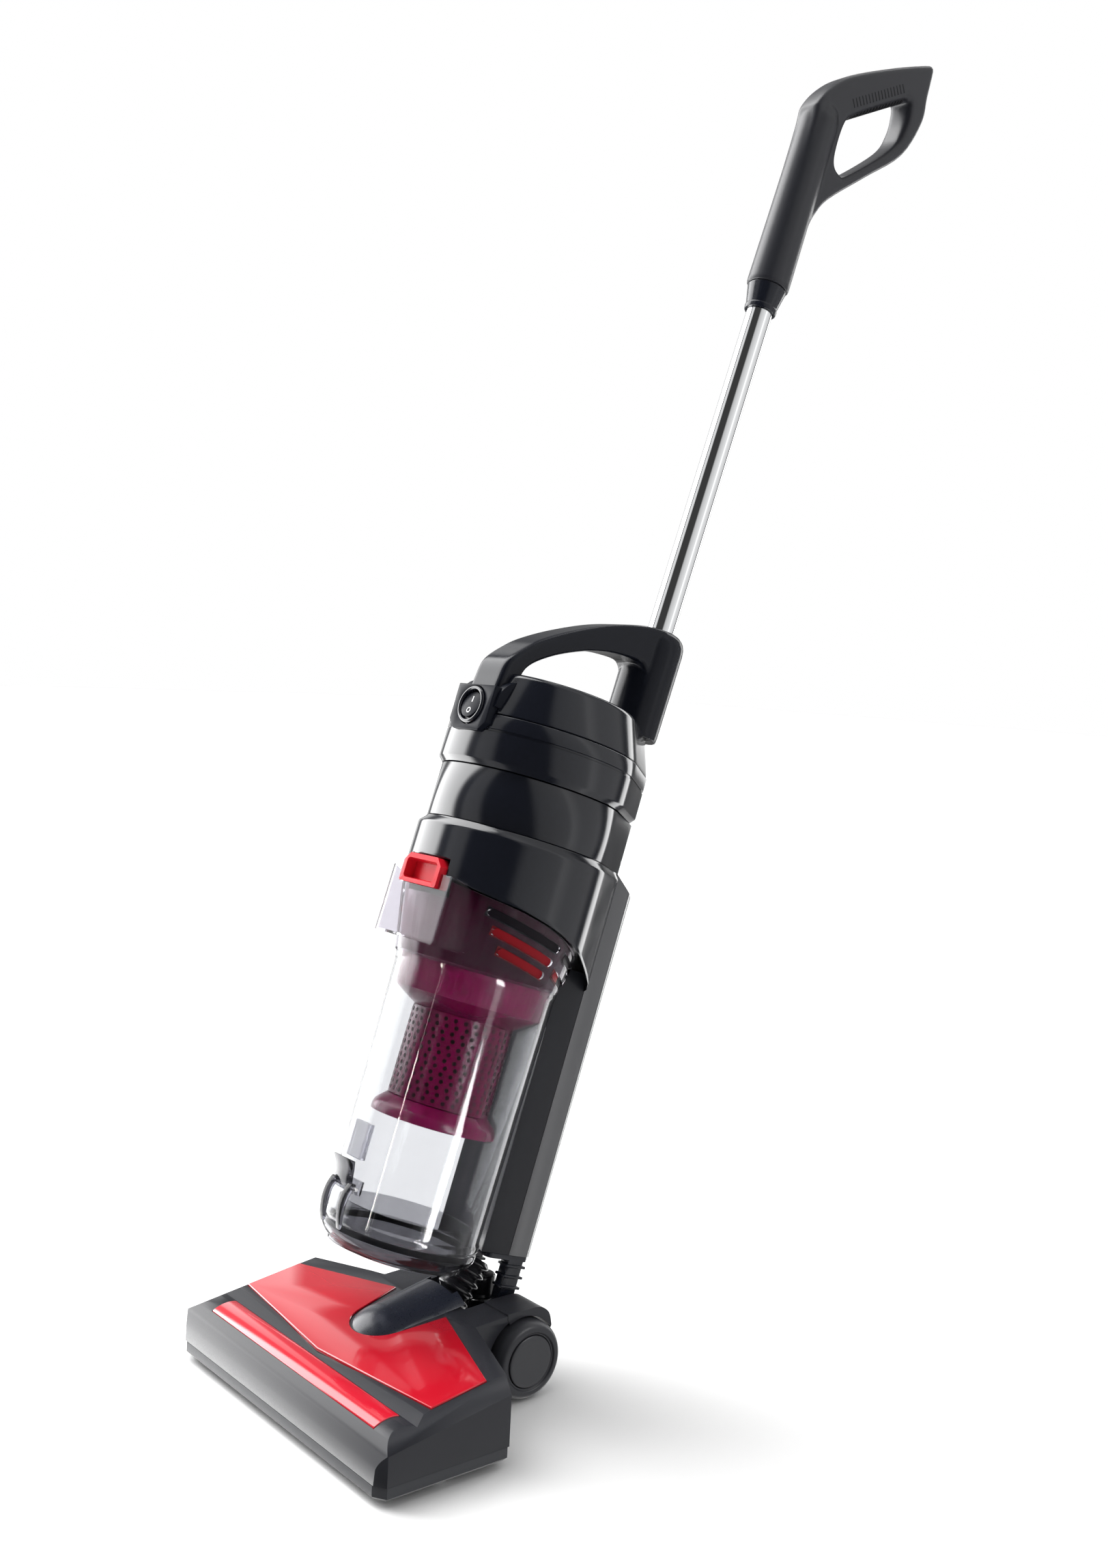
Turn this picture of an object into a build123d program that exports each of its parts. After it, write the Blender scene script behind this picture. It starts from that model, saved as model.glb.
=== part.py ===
# Upright vacuum cleaner: floor head, reclining body, clear dust bin, motor housing, tube and loop handle.
# Millimetres, +Z up, +Y to the back, floor at Z = 0, origin under the middle of the front glide.
import os
from math import atan2, cos, degrees, hypot, radians, sin, tan
from build123d import *

os.makedirs("parts", exist_ok=True)

# Clearances shared by all pieces
GAP = 0.4
RUN = 0.05
SEAM = 0.6

# Floor head
HEAD_W = 280.0
HEAD_FRONT = -66.0
SIDE_LEN = 106.0
SIDE_BACK = HEAD_FRONT + SIDE_LEN
CORNER_X = 9.0
CORNER_Y = 6.0
FLOOR_GAP = 4.5
BASE_TOP = 14.5
SHELL_BOTTOM = BASE_TOP + SEAM
SHELL_T = 2.8
TOP_SLOPE = 8.9
PANEL_FRONT_Y = HEAD_FRONT + 36.7
PANEL_FRONT_Z = 49.8
PANEL_RISE = 1.2
PANEL_T = 3.2
BEVEL_W = 14.0
BEVEL_H = 8.0
ARM_HALF = 60.0
ARM_START = HEAD_FRONT + 134.0
ARM_END = HEAD_FRONT + 207.0
ARM_TOP = 66.0
SLOT_HALF = 30.5
SLOT_START = HEAD_FRONT + 146.0

# Brush and its window
BRUSH_Y = HEAD_FRONT + 26.0
BRUSH_Z = 21.0
COVER_R = 25.5
BRUSH_END = 28.0
BRUSH_LEN = HEAD_W - 2 * BRUSH_END
BRUSH_CORE_R = 14.0
TUFT_R = 19.5
MOUTH_END = 22.0
MOUTH_HALF = HEAD_W / 2 - MOUTH_END
WINDOW_END = 27.0
WINDOW_HALF = HEAD_W / 2 - WINDOW_END
WINDOW_FRONT = HEAD_FRONT + 12.0
WINDOW_BACK = HEAD_FRONT + 33.0
WINDOW_T = 2.4

# Wheels and recline axle
WHEEL_R = 29.7
WHEEL_OUT = 70.6
WHEEL_W = 23.5
HUB_R = 20.0
AXLE_R = 4.0
PIVOT_Y = HEAD_FRONT + 180.0
PIVOT_Z = WHEEL_R

# Leaning body: local y runs back, local z runs up the body, from the recline axle
LEAN = 17.5
BIN_R_LOW = 58.6
BIN_R_TOP = 62.6
BIN_LOW = 66.0
BIN_TOP = 268.0
BIN_T = 2.2
DOOR_LOW = 46.0
LUG_R = 3.2
LUG_OUT = 1.4
NEST_BACK = -34.0
NEST_GAP = 2.4
LUG_ROOM = 1.8
SPINE_NEST_R = max(BIN_R_TOP + NEST_GAP, BIN_R_LOW + LUG_OUT + LUG_R + LUG_ROOM)
BIN_B = NEST_BACK - SPINE_NEST_R
HOSE_B = -19.0
SPINE_HALF = 28.0
SPINE_SPLIT = -13.0
SPINE_REAR = 15.0
SPINE_TOP = 384.0
SPINE_T = 3.0
HOUSE_OUT = 12.9
HOUSE_R = BIN_R_TOP + HOUSE_OUT
HOUSE_TOP = 370.0
WAIST_IN = 4.9
WAIST_R = HOUSE_R - WAIST_IN
WAIST_TOP = 412.0
CAP_IN = 0.9
CAP_R = HOUSE_R - CAP_IN
CAP_TOP = 451.0
DECK_TOP = 486.0
DECK_IN = 11.0
HOUSE_T = 2.6
FRONT_FACE = BIN_B - HOUSE_R

# Tube and loop handle
TUBE_R = 11.0
TUBE_T = 1.2
TUBE_TILT = 1.53
TUBE_B = -17.1
TUBE_LOW = 492.0
TUBE_TOP = 985.0
GRIP_HALF = 15.5

lean_up = (0, sin(radians(LEAN)), cos(radians(LEAN)))
lean_back = (0, cos(radians(LEAN)), -sin(radians(LEAN)))
body = Plane(origin=(0, PIVOT_Y, PIVOT_Z), x_dir=(1, 0, 0), z_dir=lean_up)
side = Plane(origin=(0, PIVOT_Y, PIVOT_Z), x_dir=lean_back, z_dir=(1, 0, 0))
bin_axis = Axis(body.from_local_coords((0, BIN_B, 0)), lean_up)
axle_axis = Axis((0, PIVOT_Y, PIVOT_Z), (1, 0, 0))


def slope_z(y):
    """Height of the red panel's top face above the floor."""
    return PANEL_FRONT_Z + (y - PANEL_FRONT_Y) * tan(radians(TOP_SLOPE))


def head_plan(inset):
    """Half of the head's outline from above, as points on the right side."""
    half = HEAD_W / 2 - inset
    front = HEAD_FRONT + inset
    return [
        (0, front),
        (half - CORNER_X, front),
        (half, front + CORNER_Y),
        (half, SIDE_BACK - inset),
        (ARM_HALF - inset, ARM_START - inset),
        (ARM_HALF - inset, ARM_END - inset),
        (0, ARM_END - inset),
    ]


def mirrored(points):
    """The same points on both sides of the middle plane."""
    return points + [(-x, y) for x, y in reversed(points) if x != 0]


def out(node, name):
    """Label a finished piece and write its STEP file."""
    node.part.label = name
    export_step(node.part, "parts/" + name + ".step")


# Outer form of the head: side profile cut to the outline from above
def head_form(inset, low):
    with BuildPart() as form:
        with BuildSketch(Plane.YZ):
            r = COVER_R - inset
            y0 = BRUSH_Y
            with BuildLine():
                a = radians(168)
                b = radians(72)
                p0 = (y0 - r, low)
                p1 = (y0 + r * cos(a), BRUSH_Z + r * sin(a))
                pm = (y0 + r * cos((a + b) / 2), BRUSH_Z + r * sin((a + b) / 2))
                p2 = (y0 + r * cos(b), BRUSH_Z + r * sin(b))
                l1 = Line(p0, p1)
                l2 = ThreePointArc(p1, pm, p2)
                drop = PANEL_RISE + inset
                yb = PANEL_FRONT_Y + 6
                yk = ARM_START - 4
                l3 = Polyline(
                    l2 @ 1,
                    (yb, slope_z(yb) - drop),
                    (yk, min(slope_z(yk) - drop, ARM_TOP - inset)),
                    (ARM_END - 22, ARM_TOP - inset),
                    (ARM_END - inset, ARM_TOP - 26),
                    (ARM_END - inset, low),
                    p0,
                )
            make_face()
        extrude(amount=HEAD_W / 2 - inset, both=True)
        with BuildSketch(Plane.XY):
            with BuildLine():
                Polyline(*mirrored(head_plan(inset)), close=True)
            make_face()
        extrude(amount=120, mode=Mode.INTERSECT)
        top = Plane(
            origin=(0, PANEL_FRONT_Y, PANEL_FRONT_Z - PANEL_RISE - inset),
            x_dir=(1, 0, 0),
            z_dir=(0, -cos(radians(TOP_SLOPE)), -sin(radians(TOP_SLOPE))),
        )
        half = HEAD_W / 2 - inset
        with BuildSketch(top):
            for s in (1, -1):
                with BuildLine():
                    Polyline(
                        (s * (half - BEVEL_W), 0),
                        (s * (half + 1), 0.6 - BEVEL_H * (1 + 1 / BEVEL_W)),
                        (s * (half + 1), 40),
                        (s * (half - BEVEL_W), 40),
                        close=True,
                    )
                make_face()
        extrude(amount=150, both=True, mode=Mode.SUBTRACT)
    return form.part


shell_outer = head_form(0.0, SHELL_BOTTOM)
shell_inner = head_form(SHELL_T, SHELL_BOTTOM - 1)


# Sloped face that the red panel lies in: local x across, local y up the slope
slope = Plane(
    origin=(0, PANEL_FRONT_Y, PANEL_FRONT_Z),
    x_dir=(1, 0, 0),
    z_dir=(0, -sin(radians(TOP_SLOPE)), cos(radians(TOP_SLOPE))),
)
NECK_V = 58.0
NECK_CUT_R = 25.5
NECK_WIDE = 34.0
PANEL_END = 15.0
PANEL_HALF = HEAD_W / 2 - PANEL_END
PANEL_POINTS = [(0, 0), (PANEL_HALF, 13), (PANEL_HALF, 59.5), (NECK_WIDE, 91)]


def panel_face(grow):
    """Face of the red panel, with the round cut-out for the neck cover."""
    with BuildSketch(Plane.XY) as cut:
        with Locations((0, NECK_V)):
            Circle(NECK_CUT_R - grow)
        with Locations((0, 101)):
            Rectangle(2 * (NECK_WIDE - grow), 12)
        make_hull()
    with BuildSketch(slope) as face:
        with BuildLine():
            Polyline(*mirrored(PANEL_POINTS), close=True)
        make_face()
        offset(amount=grow - 0.001, kind=Kind.INTERSECTION, mode=Mode.REPLACE)
        add(cut.sketch, mode=Mode.SUBTRACT)
    return face.sketch


with BuildPart() as red_panel:
    add(panel_face(0.0))
    extrude(amount=-PANEL_T + 0.6)
    chamfer(red_panel.faces().sort_by(Axis(slope.origin, slope.z_dir))[-1].edges(), 0.5)
out(red_panel, "red_panel")

# Neck cover: a dome and a widening half barrel, turned about a rising axis
NECK_R = 34.0
NECK_END_R = 42.5
NECK_Y = HEAD_FRONT + 97.5
NECK_Z = 33.5
NECK_LEN = 51.0
NECK_RISE = 0.6
NECK_T = 2.4
neck_dir = (0, cos(radians(NECK_RISE)), sin(radians(NECK_RISE)))
neck_side = Plane(origin=(0, NECK_Y, NECK_Z), x_dir=neck_dir, z_dir=(1, 0, 0))
neck_axis = Axis((0, NECK_Y, NECK_Z), neck_dir)


def neck_form(inset, tail):
    """Solid of the neck barrel, smaller by inset and longer by tail."""
    with BuildPart() as form:
        with BuildSketch(neck_side):
            r = NECK_R - inset
            with BuildLine():
                nose = CenterArc((0, 0), r, 90, 90)
                Polyline(nose @ 0, (NECK_LEN + tail, NECK_END_R - inset), (NECK_LEN + tail, 0), nose @ 1)
            make_face()
        revolve(axis=neck_axis)
    return form.part


with BuildPart() as neck_cover:
    add(neck_form(0.0, 0.0))
    add(neck_form(NECK_T, 5.0), mode=Mode.SUBTRACT)
    with BuildSketch(slope.offset(-PANEL_RISE)):
        Rectangle(400, 400)
    extrude(amount=-80, mode=Mode.SUBTRACT)
    with BuildSketch(Plane.YZ):
        with BuildLine():
            Polyline(
                (HEAD_FRONT + 122, 110),
                (HEAD_FRONT + 149, 62),
                (HEAD_FRONT + 170, 62),
                (HEAD_FRONT + 170, 110),
                close=True,
            )
        make_face()
    extrude(amount=17, both=True, mode=Mode.SUBTRACT)
out(neck_cover, "neck_cover")

# Brush window: a strip of the brush cover's own curve
with BuildPart() as brush_window:
    with BuildSketch(Plane.YZ):
        with Locations((BRUSH_Y, BRUSH_Z)):
            Circle(COVER_R + 0.5)
            Circle(COVER_R + 0.5 - WINDOW_T, mode=Mode.SUBTRACT)
    extrude(amount=WINDOW_HALF - GAP, both=True)
    with BuildSketch(Plane.XY):
        with Locations((0, (WINDOW_FRONT + WINDOW_BACK) / 2)):
            Rectangle(400, WINDOW_BACK - WINDOW_FRONT - 2 * GAP)
    extrude(amount=120, mode=Mode.INTERSECT)
    with BuildSketch(Plane.XY):
        Rectangle(400, 400)
    extrude(amount=BRUSH_Z + 5, mode=Mode.SUBTRACT)
out(brush_window, "brush_window")

ARCH_R = WHEEL_R + 3.6
ARCH_IN = WHEEL_OUT - WHEEL_W - 1.6


def wheel_room():
    """Space of both wheel arches and of the slot that the yoke swings in."""
    with BuildPart() as room:
        for s in (1, -1):
            with BuildSketch(Plane.YZ.offset(s * ARCH_IN)):
                with Locations((PIVOT_Y, PIVOT_Z)):
                    Circle(ARCH_R)
                with Locations((PIVOT_Y, PIVOT_Z - 30)):
                    Rectangle(2 * ARCH_R, 60)
            extrude(amount=s * 60)
        with BuildSketch(Plane.XY.offset(-5)):
            with Locations((0, SLOT_START + 60)):
                Rectangle(2 * SLOT_HALF, 120)
        extrude(amount=120)
    return room.part


room_cut = wheel_room()

with BuildPart() as top_shell:
    add(shell_outer)
    fillet(
        top_shell.edges().filter_by(Axis.X).group_by(Axis.Y)[-1].sort_by(Axis.Z)[-1:], 8
    )
    add(shell_inner, mode=Mode.SUBTRACT)
    with BuildSketch(Plane.XY.offset(30)):
        with Locations((0, (WINDOW_FRONT + WINDOW_BACK) / 2)):
            Rectangle(2 * WINDOW_HALF, WINDOW_BACK - WINDOW_FRONT)
    extrude(amount=60, mode=Mode.SUBTRACT)
    add(panel_face(GAP))
    extrude(amount=-PANEL_T + 0.6, mode=Mode.SUBTRACT)
    add(neck_form(NECK_T + 1.2, 30.0), mode=Mode.SUBTRACT)
    add(room_cut, mode=Mode.SUBTRACT)
    for s in (1, -1):
        with BuildSketch(Plane.YZ.offset(s * SLOT_HALF)):
            with Locations((PIVOT_Y, PIVOT_Z)):
                Circle(13)
            with Locations((PIVOT_Y, PIVOT_Z + 17)):
                Rectangle(26, 34)
        extrude(amount=s * (ARCH_IN - SLOT_HALF))
    with BuildSketch(Plane.YZ):
        with Locations((PIVOT_Y, PIVOT_Z)):
            Circle(AXLE_R)
    extrude(amount=100, both=True, mode=Mode.SUBTRACT)
out(top_shell, "top_shell")

# Sole: a tray with the brush mouth, roller pockets and stiffening ribs
SOLE_IN = 0.8
ROLLER_END = 48.0
ROLLER_X = HEAD_W / 2 - ROLLER_END
ROLLER_W = 15.0
ROLLER_R = 7.0
ROLLER_Y = HEAD_FRONT + 70.0
ROLLER_PIN_R = 1.5
MOUTH_FRONT = HEAD_FRONT + 6.0
MOUTH_BACK = HEAD_FRONT + 47.0
TRAY_T = 3.0
SCREW_FRONT = (HEAD_W / 2 - 12, HEAD_FRONT + 56)
SCREW_REAR = (HEAD_W / 2 - 22, HEAD_FRONT + 98)
SCREW_SPOTS = [(s * x, y) for x, y in (SCREW_FRONT, SCREW_REAR) for s in (-1, 1)]
RIB_SPOTS = [s * x for x in (HEAD_W / 2 - 34, HEAD_W / 2 - 74, 24) for s in (-1, 1)]
RIB_LEN = HEAD_W - 30.0
RIB_BACK = HEAD_FRONT + 88.0
RIB_MID = HEAD_FRONT + 68.0
RIB_T = 3.0
SCREW_R = 2.0
SCREW_HEAD_R = 3.6

with BuildPart() as sole_plate:
    with BuildSketch(Plane.XY.offset(FLOOR_GAP)):
        with BuildLine():
            Polyline(*mirrored(head_plan(SOLE_IN)), close=True)
        make_face()
    extrude(amount=BASE_TOP - FLOOR_GAP)
    chamfer(sole_plate.faces().sort_by(Axis.Z)[0].edges(), 2.6)
    with BuildSketch(Plane.XY.offset(FLOOR_GAP + TRAY_T)):
        with BuildLine():
            Polyline(*mirrored(head_plan(SHELL_T + 3.0)), close=True)
        make_face()
    extrude(amount=20, mode=Mode.SUBTRACT)
    with BuildSketch(Plane.XY.offset(FLOOR_GAP + TRAY_T)):
        for y in (MOUTH_BACK + 2, RIB_BACK):
            with Locations((0, y)):
                Rectangle(RIB_LEN, RIB_T)
        for x in RIB_SPOTS:
            with Locations((x, RIB_MID)):
                Rectangle(RIB_T, 39)
    extrude(amount=BASE_TOP - FLOOR_GAP - TRAY_T - 1.5)
    with BuildSketch(Plane.XY):
        with Locations((0, (MOUTH_FRONT + MOUTH_BACK) / 2)):
            Rectangle(2 * MOUTH_HALF, MOUTH_BACK - MOUTH_FRONT)
    extrude(amount=30, mode=Mode.SUBTRACT)
    add(room_cut, mode=Mode.SUBTRACT)
    for s in (1, -1):
        with BuildSketch(Plane.XY):
            with Locations((s * ROLLER_X, ROLLER_Y)):
                Rectangle(ROLLER_W + 2, 2 * ROLLER_R + 2)
        extrude(amount=30, mode=Mode.SUBTRACT)
        with BuildSketch(Plane.YZ.offset(s * ROLLER_X)):
            with Locations((ROLLER_Y, ROLLER_R + 1.5)):
                Rectangle(8, 2 * ROLLER_PIN_R + 5)
        extrude(amount=ROLLER_W / 2 + 4, both=True)
        with BuildSketch(Plane.YZ.offset(s * ROLLER_X)):
            with Locations((ROLLER_Y, ROLLER_R + 1)):
                Rectangle(2 * ROLLER_R + 2, 20)
        extrude(amount=ROLLER_W / 2 + 1, both=True, mode=Mode.SUBTRACT)
        with BuildSketch(Plane.YZ.offset(s * ROLLER_X)):
            with Locations((ROLLER_Y, ROLLER_R)):
                Circle(ROLLER_PIN_R)
        extrude(amount=ROLLER_W / 2 + 6, both=True, mode=Mode.SUBTRACT)
    with BuildSketch(Plane.XY):
        with Locations(*SCREW_SPOTS):
            Circle(SCREW_R)
    extrude(amount=20, mode=Mode.SUBTRACT)
    with BuildSketch(Plane.XY):
        with Locations(*SCREW_SPOTS):
            Circle(SCREW_HEAD_R)
    extrude(amount=FLOOR_GAP + 1.4, mode=Mode.SUBTRACT)
out(sole_plate, "sole_plate")

# Glide strip: the flat face that rests on the floor
GLIDE_L = 96.0
GLIDE_D = 14.0
with BuildPart() as glide_strip:
    with BuildSketch(Plane.XY):
        RectangleRounded(GLIDE_L, GLIDE_D, 4)
    extrude(amount=FLOOR_GAP)
    chamfer(glide_strip.faces().sort_by(Axis.Z)[0].edges(), 0.8)
out(glide_strip, "glide_strip")

with BuildPart() as sole_screws:
    for spot in SCREW_SPOTS:
        with BuildSketch(Plane.XY.offset(FLOOR_GAP - 0.6)):
            with Locations(spot):
                Circle(SCREW_HEAD_R - 0.2)
        extrude(amount=2.0)
        with BuildSketch(Plane.XY.offset(FLOOR_GAP + 1.4)):
            with Locations(spot):
                Circle(SCREW_R)
        extrude(amount=8)
        with BuildSketch(Plane.XY.offset(FLOOR_GAP - 0.6)):
            with Locations(spot):
                Rectangle(4.4, 0.9)
                Rectangle(0.9, 4.4)
        extrude(amount=1.0, mode=Mode.SUBTRACT)
out(sole_screws, "sole_screws")

for name, s in (("front_roller_right", 1), ("front_roller_left", -1)):
    with BuildPart() as front_roller:
        with BuildSketch(Plane.YZ.offset(s * ROLLER_X)):
            with Locations((ROLLER_Y, ROLLER_R)):
                Circle(ROLLER_R)
                Circle(ROLLER_PIN_R + RUN, mode=Mode.SUBTRACT)
        extrude(amount=ROLLER_W / 2, both=True)
        chamfer(front_roller.edges().filter_by(GeomType.CIRCLE).group_by(SortBy.RADIUS)[-1], 1.0)
    out(front_roller, name)

with BuildPart() as roller_pins:
    for s in (1, -1):
        with BuildSketch(Plane.YZ.offset(s * ROLLER_X)):
            with Locations((ROLLER_Y, ROLLER_R)):
                Circle(ROLLER_PIN_R)
        extrude(amount=ROLLER_W / 2 + 3.8, both=True)
out(roller_pins, "roller_pins")

# Wheels, their hub caps and the axle that is also the recline pivot
WHEEL_IN = WHEEL_OUT - WHEEL_W
for name, s in (("right", 1), ("left", -1)):
    with BuildPart() as wheel:
        with BuildSketch(Plane.XY.offset(PIVOT_Z)):
            with BuildLine():
                rim = [
                    (s * WHEEL_IN, PIVOT_Y + AXLE_R + RUN),
                    (s * WHEEL_IN, PIVOT_Y + WHEEL_R - 2),
                    (s * (WHEEL_IN + 2), PIVOT_Y + WHEEL_R),
                    (s * (WHEEL_OUT - 5), PIVOT_Y + WHEEL_R),
                    (s * (WHEEL_OUT - 1.6), PIVOT_Y + WHEEL_R - 1.6),
                    (s * WHEEL_OUT, PIVOT_Y + WHEEL_R - 5),
                    (s * WHEEL_OUT, PIVOT_Y + HUB_R + 1.6),
                    (s * (WHEEL_OUT - 1.6), PIVOT_Y + HUB_R + GAP),
                    (s * (WHEEL_OUT - 5), PIVOT_Y + HUB_R + GAP),
                    (s * (WHEEL_OUT - 5), PIVOT_Y + AXLE_R + RUN),
                ]
                Polyline(*rim, close=True)
            make_face()
        revolve(axis=axle_axis)
    out(wheel, "wheel_" + name)
    with BuildPart() as hub_cap:
        with BuildSketch(Plane.YZ.offset(s * (WHEEL_OUT - 5))):
            with Locations((PIVOT_Y, PIVOT_Z)):
                Circle(HUB_R)
        extrude(amount=s * 4.2)
        chamfer(hub_cap.faces().sort_by(Axis.X)[-1 if s > 0 else 0].edges(), 1.2)
        with BuildSketch(Plane.YZ.offset(s * (WHEEL_OUT - 5.0))):
            with Locations((PIVOT_Y, PIVOT_Z)):
                Circle(7)
        extrude(amount=s * 2.4, mode=Mode.SUBTRACT)
    out(hub_cap, "hub_cap_" + name)

AXLE_HALF = WHEEL_OUT - 3.4
with BuildPart() as axle:
    with BuildSketch(Plane.YZ):
        with Locations((PIVOT_Y, PIVOT_Z)):
            Circle(AXLE_R)
    extrude(amount=AXLE_HALF, both=True)
    chamfer(axle.edges().filter_by(GeomType.CIRCLE), 0.6)
out(axle, "axle")

# Rotating brush: core with a toothed pulley end, helical tufts, end bearings
STUB_R = 3.0
PULLEY_END = 34.0
PULLEY_X = PULLEY_END - HEAD_W / 2
PULLEY_W = 9.0
BRUSH_PULLEY_R = 10.5
MOTOR_PULLEY_R = 6.0
CORE_LEFT = PULLEY_X + PULLEY_W / 2 + 1.0
CORE_RIGHT = BRUSH_LEN / 2
TUFT_ROWS = 22
tuft_spots = []
for i in range(TUFT_ROWS):
    x = CORE_LEFT + 8 + i * (CORE_RIGHT - CORE_LEFT - 16) / (TUFT_ROWS - 1)
    for start in (0, 180):
        tuft_spots.append((x, start + 220.0 * i / TUFT_ROWS))

with BuildPart() as brush_tufts:
    for x, turn in tuft_spots:
        place = Plane(
            origin=(x, BRUSH_Y, BRUSH_Z),
            x_dir=(1, 0, 0),
            z_dir=(0, cos(radians(turn)), sin(radians(turn))),
        )
        with BuildSketch(place.offset(BRUSH_CORE_R - 3)):
            Rectangle(5.0, 4.4)
        extrude(amount=TUFT_R - BRUSH_CORE_R + 3)
out(brush_tufts, "brush_tufts")

with BuildPart() as brush_core:
    with BuildSketch(Plane.YZ.offset(CORE_LEFT)):
        with Locations((BRUSH_Y, BRUSH_Z)):
            Circle(BRUSH_CORE_R)
    extrude(amount=CORE_RIGHT - CORE_LEFT)
    add(brush_tufts.part, mode=Mode.SUBTRACT)
    with BuildSketch(Plane.YZ.offset(PULLEY_X - PULLEY_W / 2)):
        with Locations((BRUSH_Y, BRUSH_Z)):
            Circle(BRUSH_PULLEY_R)
    extrude(amount=PULLEY_W + 1.0)
    with BuildSketch(Plane.YZ.offset(PULLEY_X)):
        with Locations((BRUSH_Y, BRUSH_Z)):
            Circle(STUB_R)
    extrude(amount=-13)
    with BuildSketch(Plane.YZ.offset(CORE_RIGHT)):
        with Locations((BRUSH_Y, BRUSH_Z)):
            Circle(STUB_R)
    extrude(amount=7)
out(brush_core, "brush_core")

with BuildPart() as brush_bearings:
    for x, d in ((CORE_RIGHT + 1.0, 1), (PULLEY_X - PULLEY_W / 2 - 1.0, -1)):
        with BuildSketch(Plane.YZ.offset(x)):
            with Locations((BRUSH_Y, BRUSH_Z)):
                Circle(9)
            with Locations((BRUSH_Y, BRUSH_Z - 3)):
                Rectangle(18, 12)
            with Locations((BRUSH_Y, BRUSH_Z)):
                Circle(STUB_R + RUN, mode=Mode.SUBTRACT)
        extrude(amount=d * 6.5)
out(brush_bearings, "brush_bearings")

# Brush motor, its pulley and the drive belt
BMOTOR_Y = HEAD_FRONT + 78.0
BMOTOR_Z = 31.0
BMOTOR_R = 16.0
FOOT_START = PULLEY_X + 28.0
FOOT_LEN = 32.0
with BuildPart() as brush_motor:
    with BuildSketch(Plane.YZ.offset(PULLEY_X + PULLEY_W / 2 + 3)):
        with Locations((BMOTOR_Y, BMOTOR_Z)):
            Circle(BMOTOR_R)
    extrude(amount=58)
    chamfer(brush_motor.edges().filter_by(GeomType.CIRCLE), 1.5)
    with BuildSketch(Plane.YZ.offset(FOOT_START)):
        with Locations((BMOTOR_Y, FLOOR_GAP + TRAY_T + 4)):
            Rectangle(2 * BMOTOR_R - 6, 8)
    extrude(amount=FOOT_LEN)
    with BuildSketch(Plane.YZ.offset(PULLEY_X + PULLEY_W / 2)):
        with Locations((BMOTOR_Y, BMOTOR_Z)):
            Circle(2.5)
    extrude(amount=20, mode=Mode.SUBTRACT)
    with BuildSketch(Plane.XY):
        for x in RIB_SPOTS:
            with Locations((x, RIB_MID)):
                Rectangle(RIB_T + 1, 41)
        with Locations((0, RIB_BACK)):
            Rectangle(RIB_LEN + 2, RIB_T + 1)
    extrude(amount=BASE_TOP - 1.0, mode=Mode.SUBTRACT)
out(brush_motor, "brush_motor")

with BuildPart() as motor_pulley:
    with BuildSketch(Plane.YZ.offset(PULLEY_X - PULLEY_W / 2)):
        with Locations((BMOTOR_Y, BMOTOR_Z)):
            Circle(MOTOR_PULLEY_R)
    extrude(amount=PULLEY_W)
    with BuildSketch(Plane.YZ.offset(PULLEY_X)):
        with Locations((BMOTOR_Y, BMOTOR_Z)):
            Circle(2.45)
    extrude(amount=19)
out(motor_pulley, "motor_pulley")

BELT_T = 1.8
with BuildPart() as drive_belt:
    with BuildSketch(Plane.YZ.offset(PULLEY_X - PULLEY_W / 2 + 1)):
        with Locations((BRUSH_Y, BRUSH_Z)):
            Circle(BRUSH_PULLEY_R + 0.35 + BELT_T)
        with Locations((BMOTOR_Y, BMOTOR_Z)):
            Circle(MOTOR_PULLEY_R + 0.35 + BELT_T)
        make_hull()
    extrude(amount=PULLEY_W - 2)
    with BuildSketch(Plane.YZ.offset(PULLEY_X - PULLEY_W / 2 + 1)):
        with Locations((BRUSH_Y, BRUSH_Z)):
            Circle(BRUSH_PULLEY_R + 0.35)
        with Locations((BMOTOR_Y, BMOTOR_Z)):
            Circle(MOTOR_PULLEY_R + 0.35)
        make_hull()
    extrude(amount=PULLEY_W - 2, mode=Mode.SUBTRACT)
out(drive_belt, "drive_belt")

# Yoke: ribbed foot of the body, with two bosses on the axle
LEG_IN = 19.0
LEG_OUT = 28.0
LEG_FRONT = -11.0
LEG_BACK = 4.0
RIB_H = (41.0, 49.0, 57.0)
BOSS_R = 10.0
with BuildPart() as yoke:
    for s in (1, -1):
        with BuildSketch(side.offset(s * LEG_IN)):
            with BuildLine():
                Polyline(
                    (LEG_FRONT, BIN_LOW - 0.01),
                    (LEG_FRONT, 16),
                    (-9.6, 0),
                    (9.6, 0),
                    (LEG_BACK, 24),
                    (LEG_BACK, BIN_LOW - 0.01),
                    close=True,
                )
            make_face()
            Circle(BOSS_R)
        extrude(amount=s * (LEG_OUT - LEG_IN))
    for h in RIB_H:
        for s in (1, -1):
            with BuildSketch(body.offset(h)):
                with Locations((s * (LEG_IN + LEG_OUT) / 2, (LEG_FRONT + LEG_BACK) / 2 + 0.6)):
                    Rectangle(LEG_OUT - LEG_IN + 2.4, LEG_BACK - LEG_FRONT + 4.2)
            extrude(amount=2.0)
    with BuildSketch(body.offset(BIN_LOW - 4)):
        with Locations((0, -12)):
            RectangleRounded(2 * LEG_OUT, 42, 5)
    extrude(amount=3.99)
    with BuildSketch(body.offset(BIN_LOW - 6)):
        with Locations((0, HOSE_B)):
            Circle(12.2)
    extrude(amount=20, mode=Mode.SUBTRACT)
    with BuildSketch(side):
        Circle(AXLE_R + RUN)
    extrude(amount=60, both=True, mode=Mode.SUBTRACT)
out(yoke, "yoke")

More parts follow.
